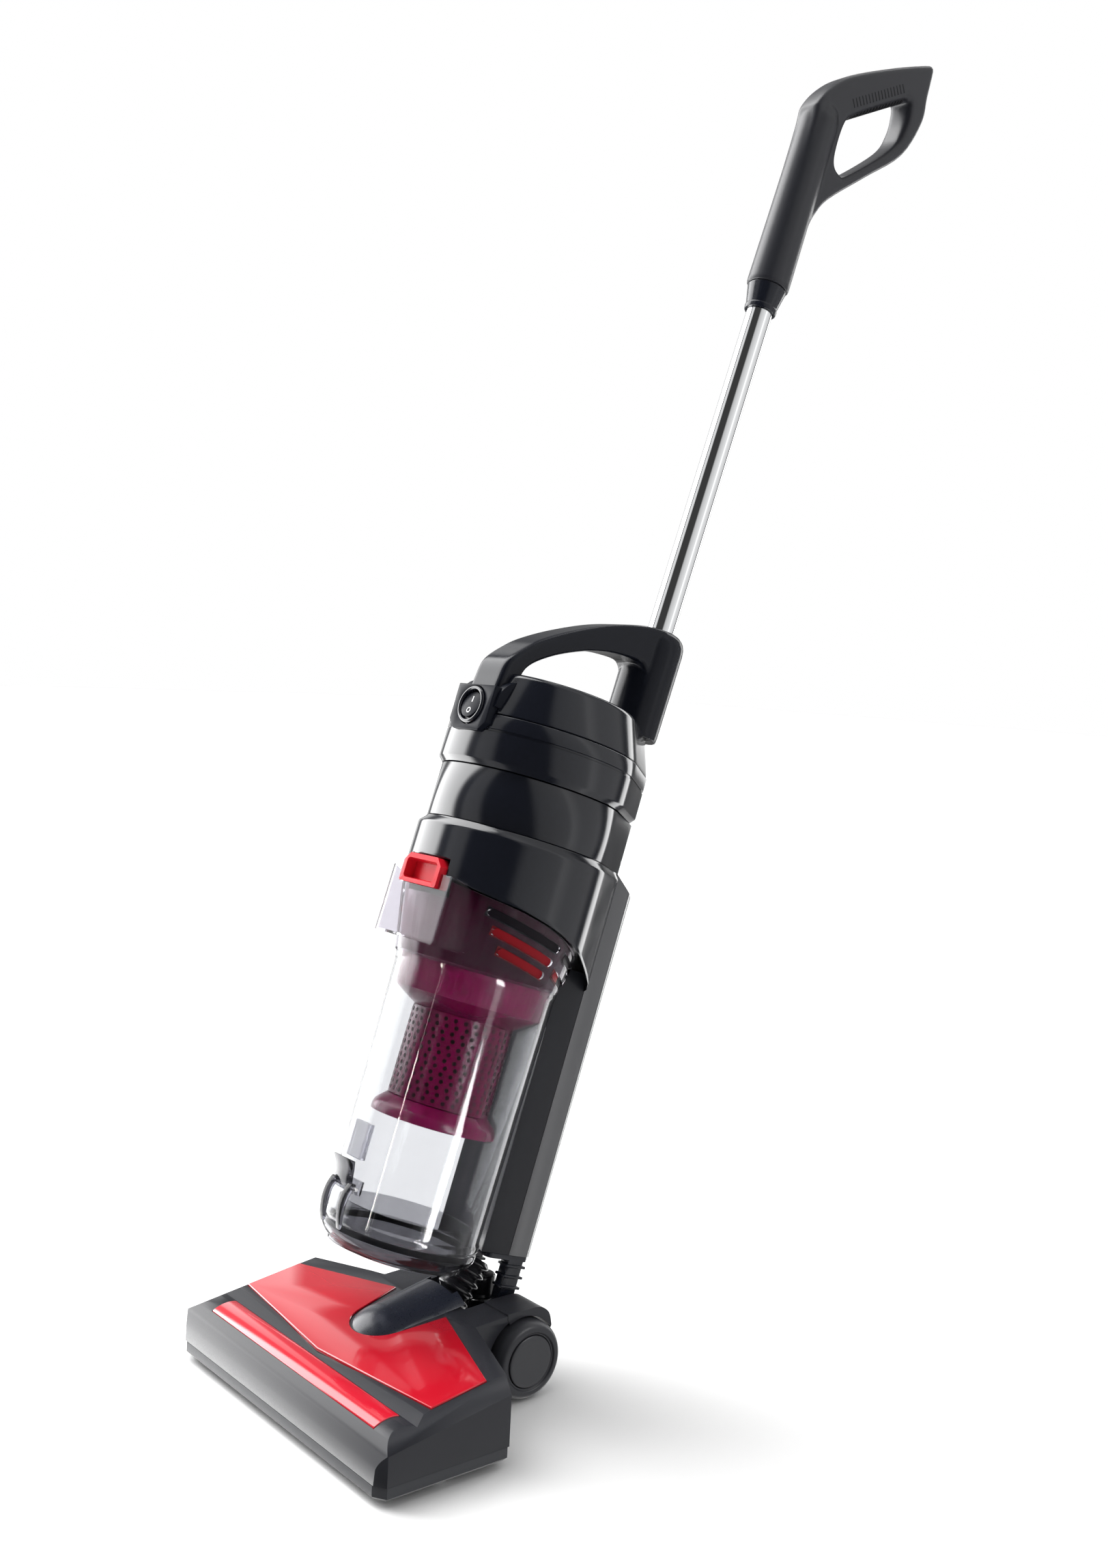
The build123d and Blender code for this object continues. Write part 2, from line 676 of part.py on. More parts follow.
# Corrugated hose between the neck and the body
HOSE_R = 13.6
HOSE_T = 1.6
HOSE_N = 5
HOSE_TOP = tuple(body.from_local_coords((0, HOSE_B, 58.9)))
HOSE_LOW = (0, PIVOT_Y - 27.0, 57.5)
hose_vec = Vector(*HOSE_TOP) - Vector(*HOSE_LOW)
hose_side = Plane(origin=HOSE_LOW, x_dir=(1, 0, 0), z_dir=Vector(1, 0, 0).cross(hose_vec.normalized()))
with BuildPart() as hose:
    with BuildSketch(hose_side):
        length = hose_vec.length
        step = length / HOSE_N
        pts = [(HOSE_R - HOSE_T - 2.2, 0)]
        for i in range(HOSE_N):
            pts += [
                (HOSE_R - 2.2, i * step),
                (HOSE_R - 2.2, i * step + 0.30 * step),
                (HOSE_R, i * step + 0.42 * step),
                (HOSE_R, i * step + 0.70 * step),
                (HOSE_R - 2.2, i * step + 0.82 * step),
            ]
        pts += [(HOSE_R - 2.2, length), (HOSE_R - HOSE_T - 2.2, length)]
        with BuildLine():
            Polyline(*pts, close=True)
        make_face()
    revolve(axis=Axis(HOSE_LOW, hose_vec.normalized()))
out(hose, "hose")

# Air duct from the brush chamber to the hose
with BuildPart() as neck_duct:
    with BuildSketch(Plane.XZ.offset(-(HEAD_FRONT + 92))):
        with Locations((0, 34)):
            RectangleRounded(38, 26, 8)
            RectangleRounded(34, 22, 6, mode=Mode.SUBTRACT)
    extrude(amount=-44)
    with BuildSketch(Plane.XY.offset(FLOOR_GAP + TRAY_T)):
        for x in (-14, 14):
            with Locations((x, HEAD_FRONT + 112)):
                Rectangle(3, 30)
    extrude(amount=14.5)
out(neck_duct, "neck_duct")

# Spine: grey rear cover with rounded corners
SPINE_CORNER = 13.0
with BuildPart() as spine_rear:
    with BuildSketch(body.offset(BIN_LOW)):
        with Locations((0, (SPINE_SPLIT + GAP + SPINE_REAR) / 2)):
            Rectangle(2 * SPINE_HALF, SPINE_REAR - SPINE_SPLIT - GAP)
    extrude(amount=SPINE_TOP - BIN_LOW)
    rear_edges = spine_rear.edges().filter_by(Axis((0, 0, 0), lean_up))
    fillet(rear_edges.sort_by(Axis(body.origin, lean_back))[-2:], SPINE_CORNER)
    with BuildSketch(side):
        with BuildLine():
            Polyline((-40, 372), (-16, 372), (20, 350), (40, 350), (40, 420), (-40, 420), close=True)
        make_face()
    extrude(amount=60, both=True, mode=Mode.SUBTRACT)
    with BuildSketch(body.offset(BIN_LOW - 1)):
        with Locations((0, (SPINE_SPLIT + SPINE_REAR) / 2 - 2)):
            RectangleRounded(2 * SPINE_HALF - 2 * SPINE_T, SPINE_REAR - SPINE_SPLIT - 4, 8)
    extrude(amount=280, mode=Mode.SUBTRACT)
out(spine_rear, "spine_rear")

# Dust bin: clear tapered wall with a front tab and hinge lugs
LUG_B = BIN_B + BIN_R_LOW + LUG_OUT
LUG_H = 60.0
PIN_R = 1.3
LATCH_B = BIN_B - BIN_R_LOW - 4.0
LATCH_H = 94.0
TAB_LOW = 114.0
TAB_TALL = 26.0
TAB_W = 19.0
with BuildPart() as bin_wall:
    with BuildSketch(side):
        with BuildLine():
            Polyline(
                (BIN_B + BIN_R_LOW - BIN_T, BIN_LOW),
                (BIN_B + BIN_R_LOW, BIN_LOW),
                (BIN_B + BIN_R_TOP, BIN_TOP),
                (BIN_B + BIN_R_TOP - BIN_T, BIN_TOP),
                close=True,
            )
        make_face()
    revolve(axis=bin_axis)
    with BuildSketch(body.offset(TAB_LOW)):
        with Locations((0, BIN_B - BIN_R_LOW - 0.4)):
            Rectangle(TAB_W, 5)
    extrude(amount=TAB_TALL)
    for s in (1, -1):
        with BuildSketch(side.offset(s * 9)):
            with Locations((LUG_B, LUG_H)):
                Circle(LUG_R)
            with BuildLine():
                Polyline(
                    (LUG_B + LUG_R, LUG_H),
                    (LUG_B - LUG_R, LUG_H),
                    (LUG_B - LUG_R, BIN_LOW + 8),
                    (LUG_B + 0.4, BIN_LOW + 8),
                    (LUG_B + LUG_R, BIN_LOW),
                    close=True,
                )
            make_face()
        extrude(amount=2.6, both=True)
        with BuildSketch(side.offset(s * 15.5)):
            with BuildLine():
                Polyline(
                    (LATCH_B + 9.0, LATCH_H - 3),
                    (LATCH_B - 2.4, LATCH_H - 3),
                    (LATCH_B - 2.4, LATCH_H + 3),
                    (LATCH_B + 9.0, LATCH_H + 8),
                    close=True,
                )
            make_face()
        extrude(amount=1.5, both=True)
    with BuildSketch(side):
        with Locations((LUG_B, LUG_H), (LATCH_B, LATCH_H)):
            Circle(PIN_R)
    extrude(amount=40, both=True, mode=Mode.SUBTRACT)
    with BuildSketch(side):
        with BuildLine():
            Polyline(
                (BIN_B, BIN_LOW - 20),
                (BIN_B + BIN_R_LOW - BIN_T, BIN_LOW - 20),
                (BIN_B + BIN_R_LOW - BIN_T, BIN_LOW),
                (BIN_B + BIN_R_TOP - BIN_T, BIN_TOP),
                (BIN_B, BIN_TOP),
                close=True,
            )
        make_face()
    revolve(axis=bin_axis, mode=Mode.SUBTRACT)
out(bin_wall, "bin_wall")

# Bottom door: smoked dish with a hinge knuckle, its pin and its seal
DOOR_RIM = BIN_R_LOW + 0.6
DISH_R = DOOR_RIM - 25.2
SLEEVE_GAP = 4.9
SLEEVE_R = BIN_R_LOW - BIN_T - SLEEVE_GAP
SLEEVE_TOP = 82.0
with BuildPart() as bin_door:
    with BuildSketch(side):
        with BuildLine():
            Polyline(
                (BIN_B, DOOR_LOW),
                (BIN_B + DISH_R, DOOR_LOW),
                (BIN_B + DISH_R + 12, DOOR_LOW + 2.6),
                (BIN_B + DOOR_RIM - 4, DOOR_LOW + 8.5),
                (BIN_B + DOOR_RIM, DOOR_LOW + 14),
                (BIN_B + DOOR_RIM, BIN_LOW - GAP),
                (BIN_B + DOOR_RIM - 2.4, BIN_LOW - GAP),
                (BIN_B + DOOR_RIM - 2.4, DOOR_LOW + 14.6),
                (BIN_B + DOOR_RIM - 6, DOOR_LOW + 10.4),
                (BIN_B + DISH_R + 11, DOOR_LOW + 5),
                (BIN_B + DISH_R, DOOR_LOW + 2.3),
                (BIN_B, DOOR_LOW + 2.3),
                close=True,
            )
        make_face()
    revolve(axis=bin_axis)
    with BuildSketch(side):
        with Locations((LUG_B, LUG_H)):
            Circle(LUG_R + 0.8)
        with Locations((LUG_B, LUG_H + 6)):
            Rectangle(2 * LUG_R + 1.6, 12)
    extrude(amount=12.4, both=True, mode=Mode.SUBTRACT)
    with BuildSketch(side):
        with Locations((LUG_B, LUG_H)):
            Circle(LUG_R)
        with Locations((LUG_B - 4.2, LUG_H - 1.6)):
            Rectangle(8.4, 3.2)
    extrude(amount=5.8, both=True)
    with BuildSketch(side):
        with Locations((LUG_B, LUG_H)):
            Circle(PIN_R + RUN)
    extrude(amount=40, both=True, mode=Mode.SUBTRACT)
    with BuildSketch(body.offset(DOOR_LOW + 15)):
        with Locations((0, BIN_B - DOOR_RIM - 0.1)):
            Rectangle(24, 1.6)
    extrude(amount=2.2)
    with BuildSketch(body.offset(DOOR_LOW + 2)):
        with Locations((0, BIN_B)):
            Circle(SLEEVE_R)
            Circle(SLEEVE_R - 1.8, mode=Mode.SUBTRACT)
    extrude(amount=SLEEVE_TOP - DOOR_LOW - 2)
out(bin_door, "bin_door")

with BuildPart() as door_pin:
    with BuildSketch(side):
        with Locations((LUG_B, LUG_H)):
            Circle(PIN_R)
    extrude(amount=11.6, both=True)
out(door_pin, "door_pin")

with BuildPart() as door_seal:
    with BuildSketch(side):
        with Locations((BIN_B + DOOR_RIM - 4.4, BIN_LOW - 3.0)):
            Rectangle(3.0, 5.0)
    revolve(axis=bin_axis)
out(door_seal, "door_seal")

# Latch on the bin's front: two bowed claws under a flared thumb tab, on one hinge barrel
CLAW_IN = 8.8
CLAW_OUT = 13.2
CLAW_BOW = 6.8
CLAW_TIP = LATCH_H - 30.5
THUMB_TOP = LATCH_H + 19.0
BARREL_R = 2.6
with BuildPart() as door_latch:
    with BuildSketch(side.offset(-CLAW_OUT)):
        with BuildLine():
            back = ThreePointArc(
                (LATCH_B - 3.0, LATCH_H + 3),
                (LATCH_B - CLAW_BOW, LATCH_H - 14),
                (LATCH_B - 1.6, CLAW_TIP),
            )
            palm = ThreePointArc(
                (LATCH_B - 0.6, CLAW_TIP + 3),
                (LATCH_B - CLAW_BOW + 4.0, LATCH_H - 14),
                (LATCH_B + 0.2, LATCH_H - 1.5),
            )
            Line(back @ 1, palm @ 0)
            Polyline(palm @ 1, (LATCH_B + 1.2, LATCH_H + 3), back @ 0)
        make_face()
    extrude(amount=2 * CLAW_OUT)
    with BuildSketch(side):
        with Locations((LATCH_B, LATCH_H - 24)):
            Rectangle(30, 42)
    extrude(amount=CLAW_IN, both=True, mode=Mode.SUBTRACT)
    with BuildSketch(side):
        with Locations((LATCH_B, LATCH_H)):
            Circle(BARREL_R)
        with BuildLine():
            Polyline(
                (LATCH_B - 2.6, LATCH_H),
                (LATCH_B - 6.2, THUMB_TOP - 0.6),
                (LATCH_B - 4.0, THUMB_TOP),
                (LATCH_B + 0.4, LATCH_H + 3),
                close=True,
            )
        make_face()
    extrude(amount=CLAW_OUT, both=True)
    front = Plane(body.from_local_coords((0, LATCH_B - 20, LATCH_H)), x_dir=(1, 0, 0), z_dir=lean_back)
    with BuildSketch(front):
        for s in (1, -1):
            with BuildLine():
                Polyline((s * CLAW_IN, -4), (s * (CLAW_OUT + 1), -4), (s * (CLAW_OUT + 1), -20), close=True)
            make_face()
    extrude(amount=40, mode=Mode.SUBTRACT)
    with BuildSketch(side):
        with Locations((LATCH_B, LATCH_H)):
            Circle(PIN_R + RUN)
    extrude(amount=40, both=True, mode=Mode.SUBTRACT)
out(door_latch, "door_latch")

with BuildPart() as latch_pin:
    with BuildSketch(side):
        with Locations((LATCH_B, LATCH_H)):
            Circle(PIN_R)
    extrude(amount=16.8, both=True)
out(latch_pin, "latch_pin")

# Edge line between the bin's collar and the motor housing, seen from the side
SWEEP_FRONT = BIN_B - 91.0
SWEEP_REAR = -2.0
SWEEP = [
    (SWEEP_FRONT, 332.6),
    (BIN_B - 58, 322.5),
    (BIN_B - 23.5, 316.8),
    (BIN_B + 13.4, 307.9),
    (-40, 291.3),
    (SWEEP_REAR, 272),
]


def hull_form(low, high, front_r, rear_r, rear_b, taper=0.0):
    """Upright racetrack form: a circle on the bin's axis joined to a smaller one at the rear."""
    with BuildPart() as form:
        with BuildSketch(body.offset(low)):
            with Locations((0, BIN_B)):
                Circle(front_r)
            with Locations((0, rear_b)):
                Circle(rear_r)
            make_hull()
        extrude(amount=high - low, taper=taper)
    return form.part


def under_sweep(drop):
    """Everything below the edge line, lowered by the given amount."""
    with BuildPart() as form:
        with BuildSketch(side):
            with BuildLine():
                line = Spline(*[(b, h - drop) for b, h in SWEEP])
                Polyline(line @ 1, (SWEEP_REAR, 200), (SWEEP_FRONT, 200), line @ 0)
            make_face()
        extrude(amount=120, both=True)
    return form.part


def ring_form(points):
    """Ring turned about the bin's axis from (radius, height) points."""
    with BuildPart() as form:
        with BuildSketch(side):
            with BuildLine():
                Polyline(*[(BIN_B + r, h) for r, h in points], close=True)
            make_face()
        revolve(axis=bin_axis)
    return form.part


def disc_form(r, low, high):
    """Solid round on the bin's axis between two heights."""
    return ring_form([(0, low), (r, low), (r, high), (0, high)])


def box_form(half, back, front, low, high):
    """Plain block in the body's own directions."""
    with BuildPart() as form:
        with BuildSketch(body.offset(low)):
            with Locations((0, (back + front) / 2)):
                Rectangle(2 * half, abs(back - front))
        extrude(amount=high - low)
    return form.part


# Collar of the bin: clear cone with a front pod and air slots
COLLAR_LOW = 266.0
COLLAR_OUT = 2.1
COLLAR_R_LOW = BIN_R_TOP + COLLAR_OUT
COLLAR_SLOPE = 0.165
COLLAR_T = 2.0
POD_HALF = 41.0
POD_LOW = 276.0
POD_BACK = BIN_B - 11.0
SLOT_W = 6.0
AIR_SLOTS = [
    (-48, 311, 15, 298),
    (-41.5, 298.5, 12, 287),
    (-33.6, 285.6, 8.5, 276.5),
    (23.3, 295, 49, 284.5),
    (18.4, 281, 42, 271.5),
]
BUTTON_HALF = 23.0
BUTTON_TALL = 22.0
BUTTON_LOW = 316.0
BUTTON_HIGH = BUTTON_LOW + BUTTON_TALL


def collar_r(h):
    """Outer radius of the collar at a height."""
    return COLLAR_R_LOW + (h - COLLAR_LOW) * COLLAR_SLOPE


def cone_points(shift, low, high):
    """Cone parallel to the collar, as (radius, height) points down to the axis."""
    return [(0, low), (collar_r(low) + shift, low), (collar_r(high) + shift, high), (0, high)]


# Spine front: dark channel with a hollow for the bin and its collar
with BuildPart() as spine_front:
    with BuildSketch(body.offset(BIN_LOW)):
        with Locations((0, (SPINE_SPLIT - 60) / 2)):
            Rectangle(2 * SPINE_HALF, 60 + SPINE_SPLIT)
        with Locations((0, BIN_B)):
            Circle(SPINE_NEST_R, mode=Mode.SUBTRACT)
    extrude(amount=288 - BIN_LOW)
    with BuildSketch(body.offset(BIN_LOW + 3)):
        with Locations((0, SPINE_SPLIT - 8)):
            Rectangle(2 * SPINE_HALF - 6, 16)
    extrude(amount=300 - BIN_LOW, mode=Mode.SUBTRACT)
    with BuildSketch(body.offset(BIN_LOW - 1)):
        with Locations((0, HOSE_B)):
            Circle(10.5)
    extrude(amount=10, mode=Mode.SUBTRACT)
    add(ring_form(cone_points(SEAM, 262, 340)), mode=Mode.SUBTRACT)
out(spine_front, "spine_front")

with BuildPart() as bin_collar:
    add(ring_form(cone_points(0, COLLAR_LOW, 332)))
    with BuildSketch(body.offset(POD_LOW)):
        with Locations((0, (FRONT_FACE + POD_BACK) / 2)):
            Rectangle(2 * POD_HALF, POD_BACK - FRONT_FACE)
    extrude(amount=46)
    pod_edges = bin_collar.edges().filter_by(Axis((0, 0, 0), lean_up)).sort_by(Axis(body.origin, lean_back))
    fillet(pod_edges[:2], 7)
    add(ring_form(cone_points(-COLLAR_T, COLLAR_LOW - 1, 333)), mode=Mode.SUBTRACT)
    pod_room = box_form(POD_HALF - COLLAR_T, POD_BACK, FRONT_FACE + COLLAR_T, POD_LOW + COLLAR_T, 340)
    add(pod_room, mode=Mode.SUBTRACT)
    add(under_sweep(GAP), mode=Mode.INTERSECT)
    with BuildSketch(side):
        with BuildLine():
            Polyline(
                (BIN_B + BIN_R_TOP - 3.6, 291),
                (BIN_B + BIN_R_TOP - 26.1, 264.5),
                (0, 264.5),
                (0, 330),
                (BIN_B + BIN_R_TOP - 3.6, 330),
                close=True,
            )
        make_face()
    extrude(amount=80, both=True, mode=Mode.SUBTRACT)
    with BuildSketch(side):
        for b0, h0, b1, h1 in AIR_SLOTS:
            with Locations((BIN_B + (b0 + b1) / 2, (h0 + h1) / 2)):
                SlotCenterToCenter(
                    hypot(b1 - b0, h1 - h0) - SLOT_W,
                    SLOT_W,
                    rotation=degrees(atan2(h1 - h0, b1 - b0)),
                )
    extrude(amount=90, both=True, mode=Mode.SUBTRACT)
    add(box_form(BUTTON_HALF + GAP, BIN_B - 51, FRONT_FACE - 10, BUTTON_LOW - GAP, BUTTON_HIGH + 7), mode=Mode.SUBTRACT)
out(bin_collar, "bin_collar")

# Cyclone: flared cup and lid, perforated shroud, skirt, inner cone and filter
CUP_T = 2.0
SHROUD_R = 39.0
SHROUD_LOW = 164.0
SHROUD_HIGH = 232.0
HOLE_R = 1.5
HOLE_COLUMNS = 16
HOLE_ROWS = 8
with BuildPart() as cyclone_cup:
    cup_top = collar_r(325) - COLLAR_T - 1.0
    cup_low = collar_r(272) - COLLAR_T - 1.0
    cup_mid = BIN_R_TOP - 4.0
    cup_knee = BIN_R_TOP - 5.4
    add(ring_form([
        (SHROUD_R - 6, SHROUD_HIGH),
        (SHROUD_R, SHROUD_HIGH),
        (cup_knee, 243),
        (cup_mid, 266),
        (cup_low, 272),
        (cup_top, 325),
        (cup_top - CUP_T, 325),
        (cup_low - CUP_T, 273),
        (cup_mid - CUP_T, 267),
        (cup_knee - CUP_T, 244.4),
        (SHROUD_R - 1.4, SHROUD_HIGH + 2.2),
        (SHROUD_R - 6, SHROUD_HIGH + 2.2),
    ]))
    add(under_sweep(GAP), mode=Mode.INTERSECT)
    add(box_form(BUTTON_HALF + 2, BIN_B - 31, FRONT_FACE - 10, BUTTON_LOW - 4, BUTTON_HIGH + 7), mode=Mode.SUBTRACT)
out(cyclone_cup, "cyclone_cup")

with BuildPart() as shroud:
    add(ring_form([
        (SHROUD_R - 1.6, SHROUD_LOW), (SHROUD_R, SHROUD_LOW), (SHROUD_R, SHROUD_HIGH - GAP),
        (SHROUD_R - 1.6, SHROUD_HIGH - GAP),
    ]))
    with BuildSketch(side):
        with GridLocations(1, 7.0, 1, HOLE_ROWS):
            with Locations((BIN_B, (SHROUD_LOW + SHROUD_HIGH) / 2)):
                Circle(HOLE_R)
    hole_row = extrude(amount=60, mode=Mode.PRIVATE)
    for i in range(HOLE_COLUMNS):
        add(hole_row.rotate(bin_axis, 360.0 / HOLE_COLUMNS * (i + 0.5)), mode=Mode.SUBTRACT)
out(shroud, "shroud")

with BuildPart() as shroud_skirt:
    add(ring_form([
        (SHROUD_R - 12, SHROUD_LOW - GAP - 2), (SHROUD_R, SHROUD_LOW - GAP - 2), (47.0, 156), (48.0, 152),
        (48.0, 149), (46.2, 149), (46.0, 152), (44.8, 155), (SHROUD_R - 1.0, SHROUD_LOW - GAP - 4.2),
        (SHROUD_R - 12, SHROUD_LOW - GAP - 4.2),
    ]))
    add(ring_form([
        (SHROUD_R - 3.4, SHROUD_LOW - GAP - 2.01), (SHROUD_R, SHROUD_LOW - GAP - 2.01),
        (SHROUD_R, SHROUD_LOW - GAP), (SHROUD_R - 3.4, SHROUD_LOW - GAP),
    ]))
out(shroud_skirt, "shroud_skirt")

with BuildPart() as inner_cone:
    add(ring_form([
        (21.8, SHROUD_LOW - 11), (23.4, SHROUD_LOW - 11), (24.6, SHROUD_LOW - 6), (26.0, 228),
        (32.7, SHROUD_HIGH - 0.9),
        (32.7, SHROUD_HIGH + 3.4), (30.4, SHROUD_HIGH + 3.4), (24.2, 229), (22.8, SHROUD_LOW - 6),
    ]))
out(inner_cone, "inner_cone")

FILTER_R = BIN_R_TOP - 2.3
with BuildPart() as filter_disc:
    add(ring_form([
        (0, 273.6),
        (FILTER_R, 273.6),
        (FILTER_R, 278),
        (FILTER_R - 8.3, 280),
        (FILTER_R - 10.3, 290),
        (0, 290),
    ]))
out(filter_disc, "filter_disc")

# Release button: red cup in the front pod, pressed in against its spring
BUTTON_BACK = FRONT_FACE + 9.0
CUP_RIM = 2.9
CUP_TALL = BUTTON_TALL - 2 * CUP_RIM - 0.8
STEM_DROP = 2.6
BUTTON_MID = BUTTON_LOW + CUP_RIM + CUP_TALL / 2
STEM_H = BUTTON_MID - STEM_DROP


def facing(b, h):
    """Plane across the body at a place on its middle line, drawn as seen from the front."""
    return Plane(body.from_local_coords((0, b, h)), x_dir=(1, 0, 0), z_dir=lean_back)


def along_back(form):
    """Edges of a form that run from front to back, lowest first."""
    return form.edges().filter_by(Axis((0, 0, 0), lean_back)).sort_by(Axis(body.origin, lean_up))


with BuildPart() as release_button:
    add(box_form(BUTTON_HALF, BUTTON_BACK, FRONT_FACE - 2.6, BUTTON_LOW, BUTTON_HIGH))
    chamfer(along_back(release_button)[-2:], 6)
    fillet(along_back(release_button)[:2], 2)
    with BuildSketch(facing(FRONT_FACE - 3, BUTTON_MID)):
        RectangleRounded(2 * BUTTON_HALF - 8, CUP_TALL, 3)
    extrude(amount=8.5, taper=9, mode=Mode.SUBTRACT)
    with BuildSketch(facing(BUTTON_BACK, STEM_H)):
        Circle(2.4)
    extrude(amount=12)
out(release_button, "release_button")

with BuildPart() as button_spring:
    with BuildSketch(facing(BUTTON_BACK + GAP, STEM_H)):
        Circle(4.6)
        Circle(3.2, mode=Mode.SUBTRACT)
    extrude(amount=8)
out(button_spring, "button_spring")

# Motor housing in four tiers
REAR_R = 30.0
REAR_B = -17.0
PLATE_LOW = 341.0
PLATE_T = 3.0
TIER_EDGE = 6.0
INLET_R = 24.0
with BuildPart() as housing_lower:
    add(hull_form(262, HOUSE_TOP - TIER_EDGE, HOUSE_R, REAR_R, REAR_B))
    add(hull_form(HOUSE_TOP - TIER_EDGE, HOUSE_TOP, HOUSE_R, REAR_R, REAR_B, 38))
    add(hull_form(261, PLATE_LOW, HOUSE_R - HOUSE_T, REAR_R - HOUSE_T, REAR_B), mode=Mode.SUBTRACT)
    motor_room = hull_form(PLATE_LOW + PLATE_T, HOUSE_TOP + 1, WAIST_R - 8, REAR_R - 10, REAR_B - 4)
    add(motor_room, mode=Mode.SUBTRACT)
    add(under_sweep(0), mode=Mode.SUBTRACT)
    add(box_form(90, SPINE_SPLIT - GAP, 40, 255, HOUSE_TOP + 5), mode=Mode.SUBTRACT)
    add(box_form(BUTTON_HALF + 0.8, BIN_B - 41, FRONT_FACE - 10, 300, BUTTON_HIGH + 0.8), mode=Mode.SUBTRACT)
    with BuildSketch(body.offset(PLATE_LOW - 1)):
        with Locations((0, BIN_B)):
            Circle(INLET_R)
    extrude(amount=8, mode=Mode.SUBTRACT)
out(housing_lower, "housing_lower")

BODY_SCREW = (-6.5, 381.0)
BODY_SCREW_R = 3.0
WAIST_REAR_R = 22.0
WAIST_REAR_B = -16.5
with BuildPart() as housing_waist:
    add(hull_form(HOUSE_TOP + GAP, WAIST_TOP, WAIST_R, WAIST_REAR_R, WAIST_REAR_B))
    waist_room = hull_form(HOUSE_TOP, WAIST_TOP + 1, WAIST_R - HOUSE_T, WAIST_REAR_R - HOUSE_T, WAIST_REAR_B)
    add(waist_room, mode=Mode.SUBTRACT)
    for s in (1, -1):
        with BuildSketch(side.offset(s * 8)):
            with Locations(BODY_SCREW):
                Circle(BODY_SCREW_R + SEAM)
        extrude(amount=s * 40, mode=Mode.SUBTRACT)
out(housing_waist, "housing_waist")

SWITCH_HALF = 22.5
SWITCH_LOW = 436.0
SWITCH_HIGH = 471.0
SWITCH_FRONT = FRONT_FACE - 1.1
SWITCH_BACK = SWITCH_FRONT + 11.6
CAP_REAR_R = 26.0
CAP_REAR_B = -20.0
CAP_EDGE = 4.0
GROOVE_LOW = CAP_TOP - 12.8
GROOVE_W = 2.0
GROOVE_D = 0.8


def switch_form(grow):
    """Block of the switch pod with cut lower corners."""
    with BuildPart() as form:
        low = SWITCH_LOW - grow
        add(box_form(SWITCH_HALF + grow, SWITCH_BACK + grow, SWITCH_FRONT, low, SWITCH_HIGH + grow))
        chamfer(along_back(form)[:2], 7)
    return form.part


with BuildPart() as cap_ring:
    cap_low = WAIST_TOP + SEAM
    cap_wall = HOUSE_T + CAP_EDGE
    add(hull_form(cap_low + CAP_EDGE, GROOVE_LOW, CAP_R, CAP_REAR_R, CAP_REAR_B))
    add(hull_form(GROOVE_LOW, GROOVE_LOW + GROOVE_W, CAP_R - GROOVE_D, CAP_REAR_R - GROOVE_D, CAP_REAR_B))
    add(hull_form(GROOVE_LOW + GROOVE_W, CAP_TOP, CAP_R, CAP_REAR_R, CAP_REAR_B))
    add(hull_form(cap_low, cap_low + CAP_EDGE, CAP_R - CAP_EDGE, CAP_REAR_R - CAP_EDGE, CAP_REAR_B, -45))
    cap_room = hull_form(WAIST_TOP, CAP_TOP + 1, CAP_R - cap_wall, CAP_REAR_R - cap_wall, CAP_REAR_B)
    add(cap_room, mode=Mode.SUBTRACT)
    add(switch_form(GAP), mode=Mode.SUBTRACT)
out(cap_ring, "cap_ring")

DECK_LOW = CAP_TOP + SEAM
DECK_R = CAP_R - 1.0
DECK_REAR_R = CAP_REAR_R - 1.0
DECK_TAPER = degrees(atan2(DECK_IN, DECK_TOP - DECK_LOW))
POST_R = 23.0
tube_line = (0, sin(radians(TUBE_TILT)), cos(radians(TUBE_TILT)))
tube_up = (body.from_local_coords(tube_line) - body.origin).normalized()


def tube_at(h):
    """Point on the tube's axis at a height up the body."""
    return body.from_local_coords((0, TUBE_B + (h - 490) * tan(radians(TUBE_TILT)), h))


with BuildPart() as deck_cap:
    add(hull_form(DECK_LOW, DECK_TOP, DECK_R, DECK_REAR_R, CAP_REAR_B, DECK_TAPER))
    deck_room = hull_form(DECK_LOW - 1, DECK_TOP - 4, DECK_R - 5, DECK_REAR_R - 5, CAP_REAR_B, DECK_TAPER)
    add(deck_room, mode=Mode.SUBTRACT)
    add(switch_form(GAP), mode=Mode.SUBTRACT)
out(deck_cap, "deck_cap")

# Carry handle: arch from the switch pod to the rear post that holds the tube
ARCH_HALF = 17.0
ARCH_OUTER = [
    (FRONT_FACE + 4.5, 466),
    (FRONT_FACE + 7.8, 493.2),
    (BIN_B - 54.5, 508.5),
    (BIN_B - 40.6, 520.2),
    (BIN_B - 13.5, 536.9),
    (BIN_B + 22.5, 554.8),
    (-40.7, 566.6),
    (-15, 570.5),
]
ARCH_INNER = [
    (FRONT_FACE + 24.5, 478),
    (FRONT_FACE + 27.5, 494),
    (BIN_B - 29, 509.6),
    (BIN_B - 2.7, 523.3),
    (BIN_B + 19.6, 531.2),
    (-42, 536.5),
]
ARCH_ROUND = 3.5
POST_TALL = 100.0
POST_ROUND = 7.0


def post_form():
    """Round post behind the arch with a rounded top rim."""
    with BuildPart() as form:
        with BuildSketch(Plane(tube_at(470), x_dir=(1, 0, 0), z_dir=tube_up)):
            Circle(POST_R)
        extrude(amount=POST_TALL)
        fillet(form.edges().filter_by(GeomType.CIRCLE).sort_by(Axis(body.origin, tube_up))[-1], POST_ROUND)
    return form.part


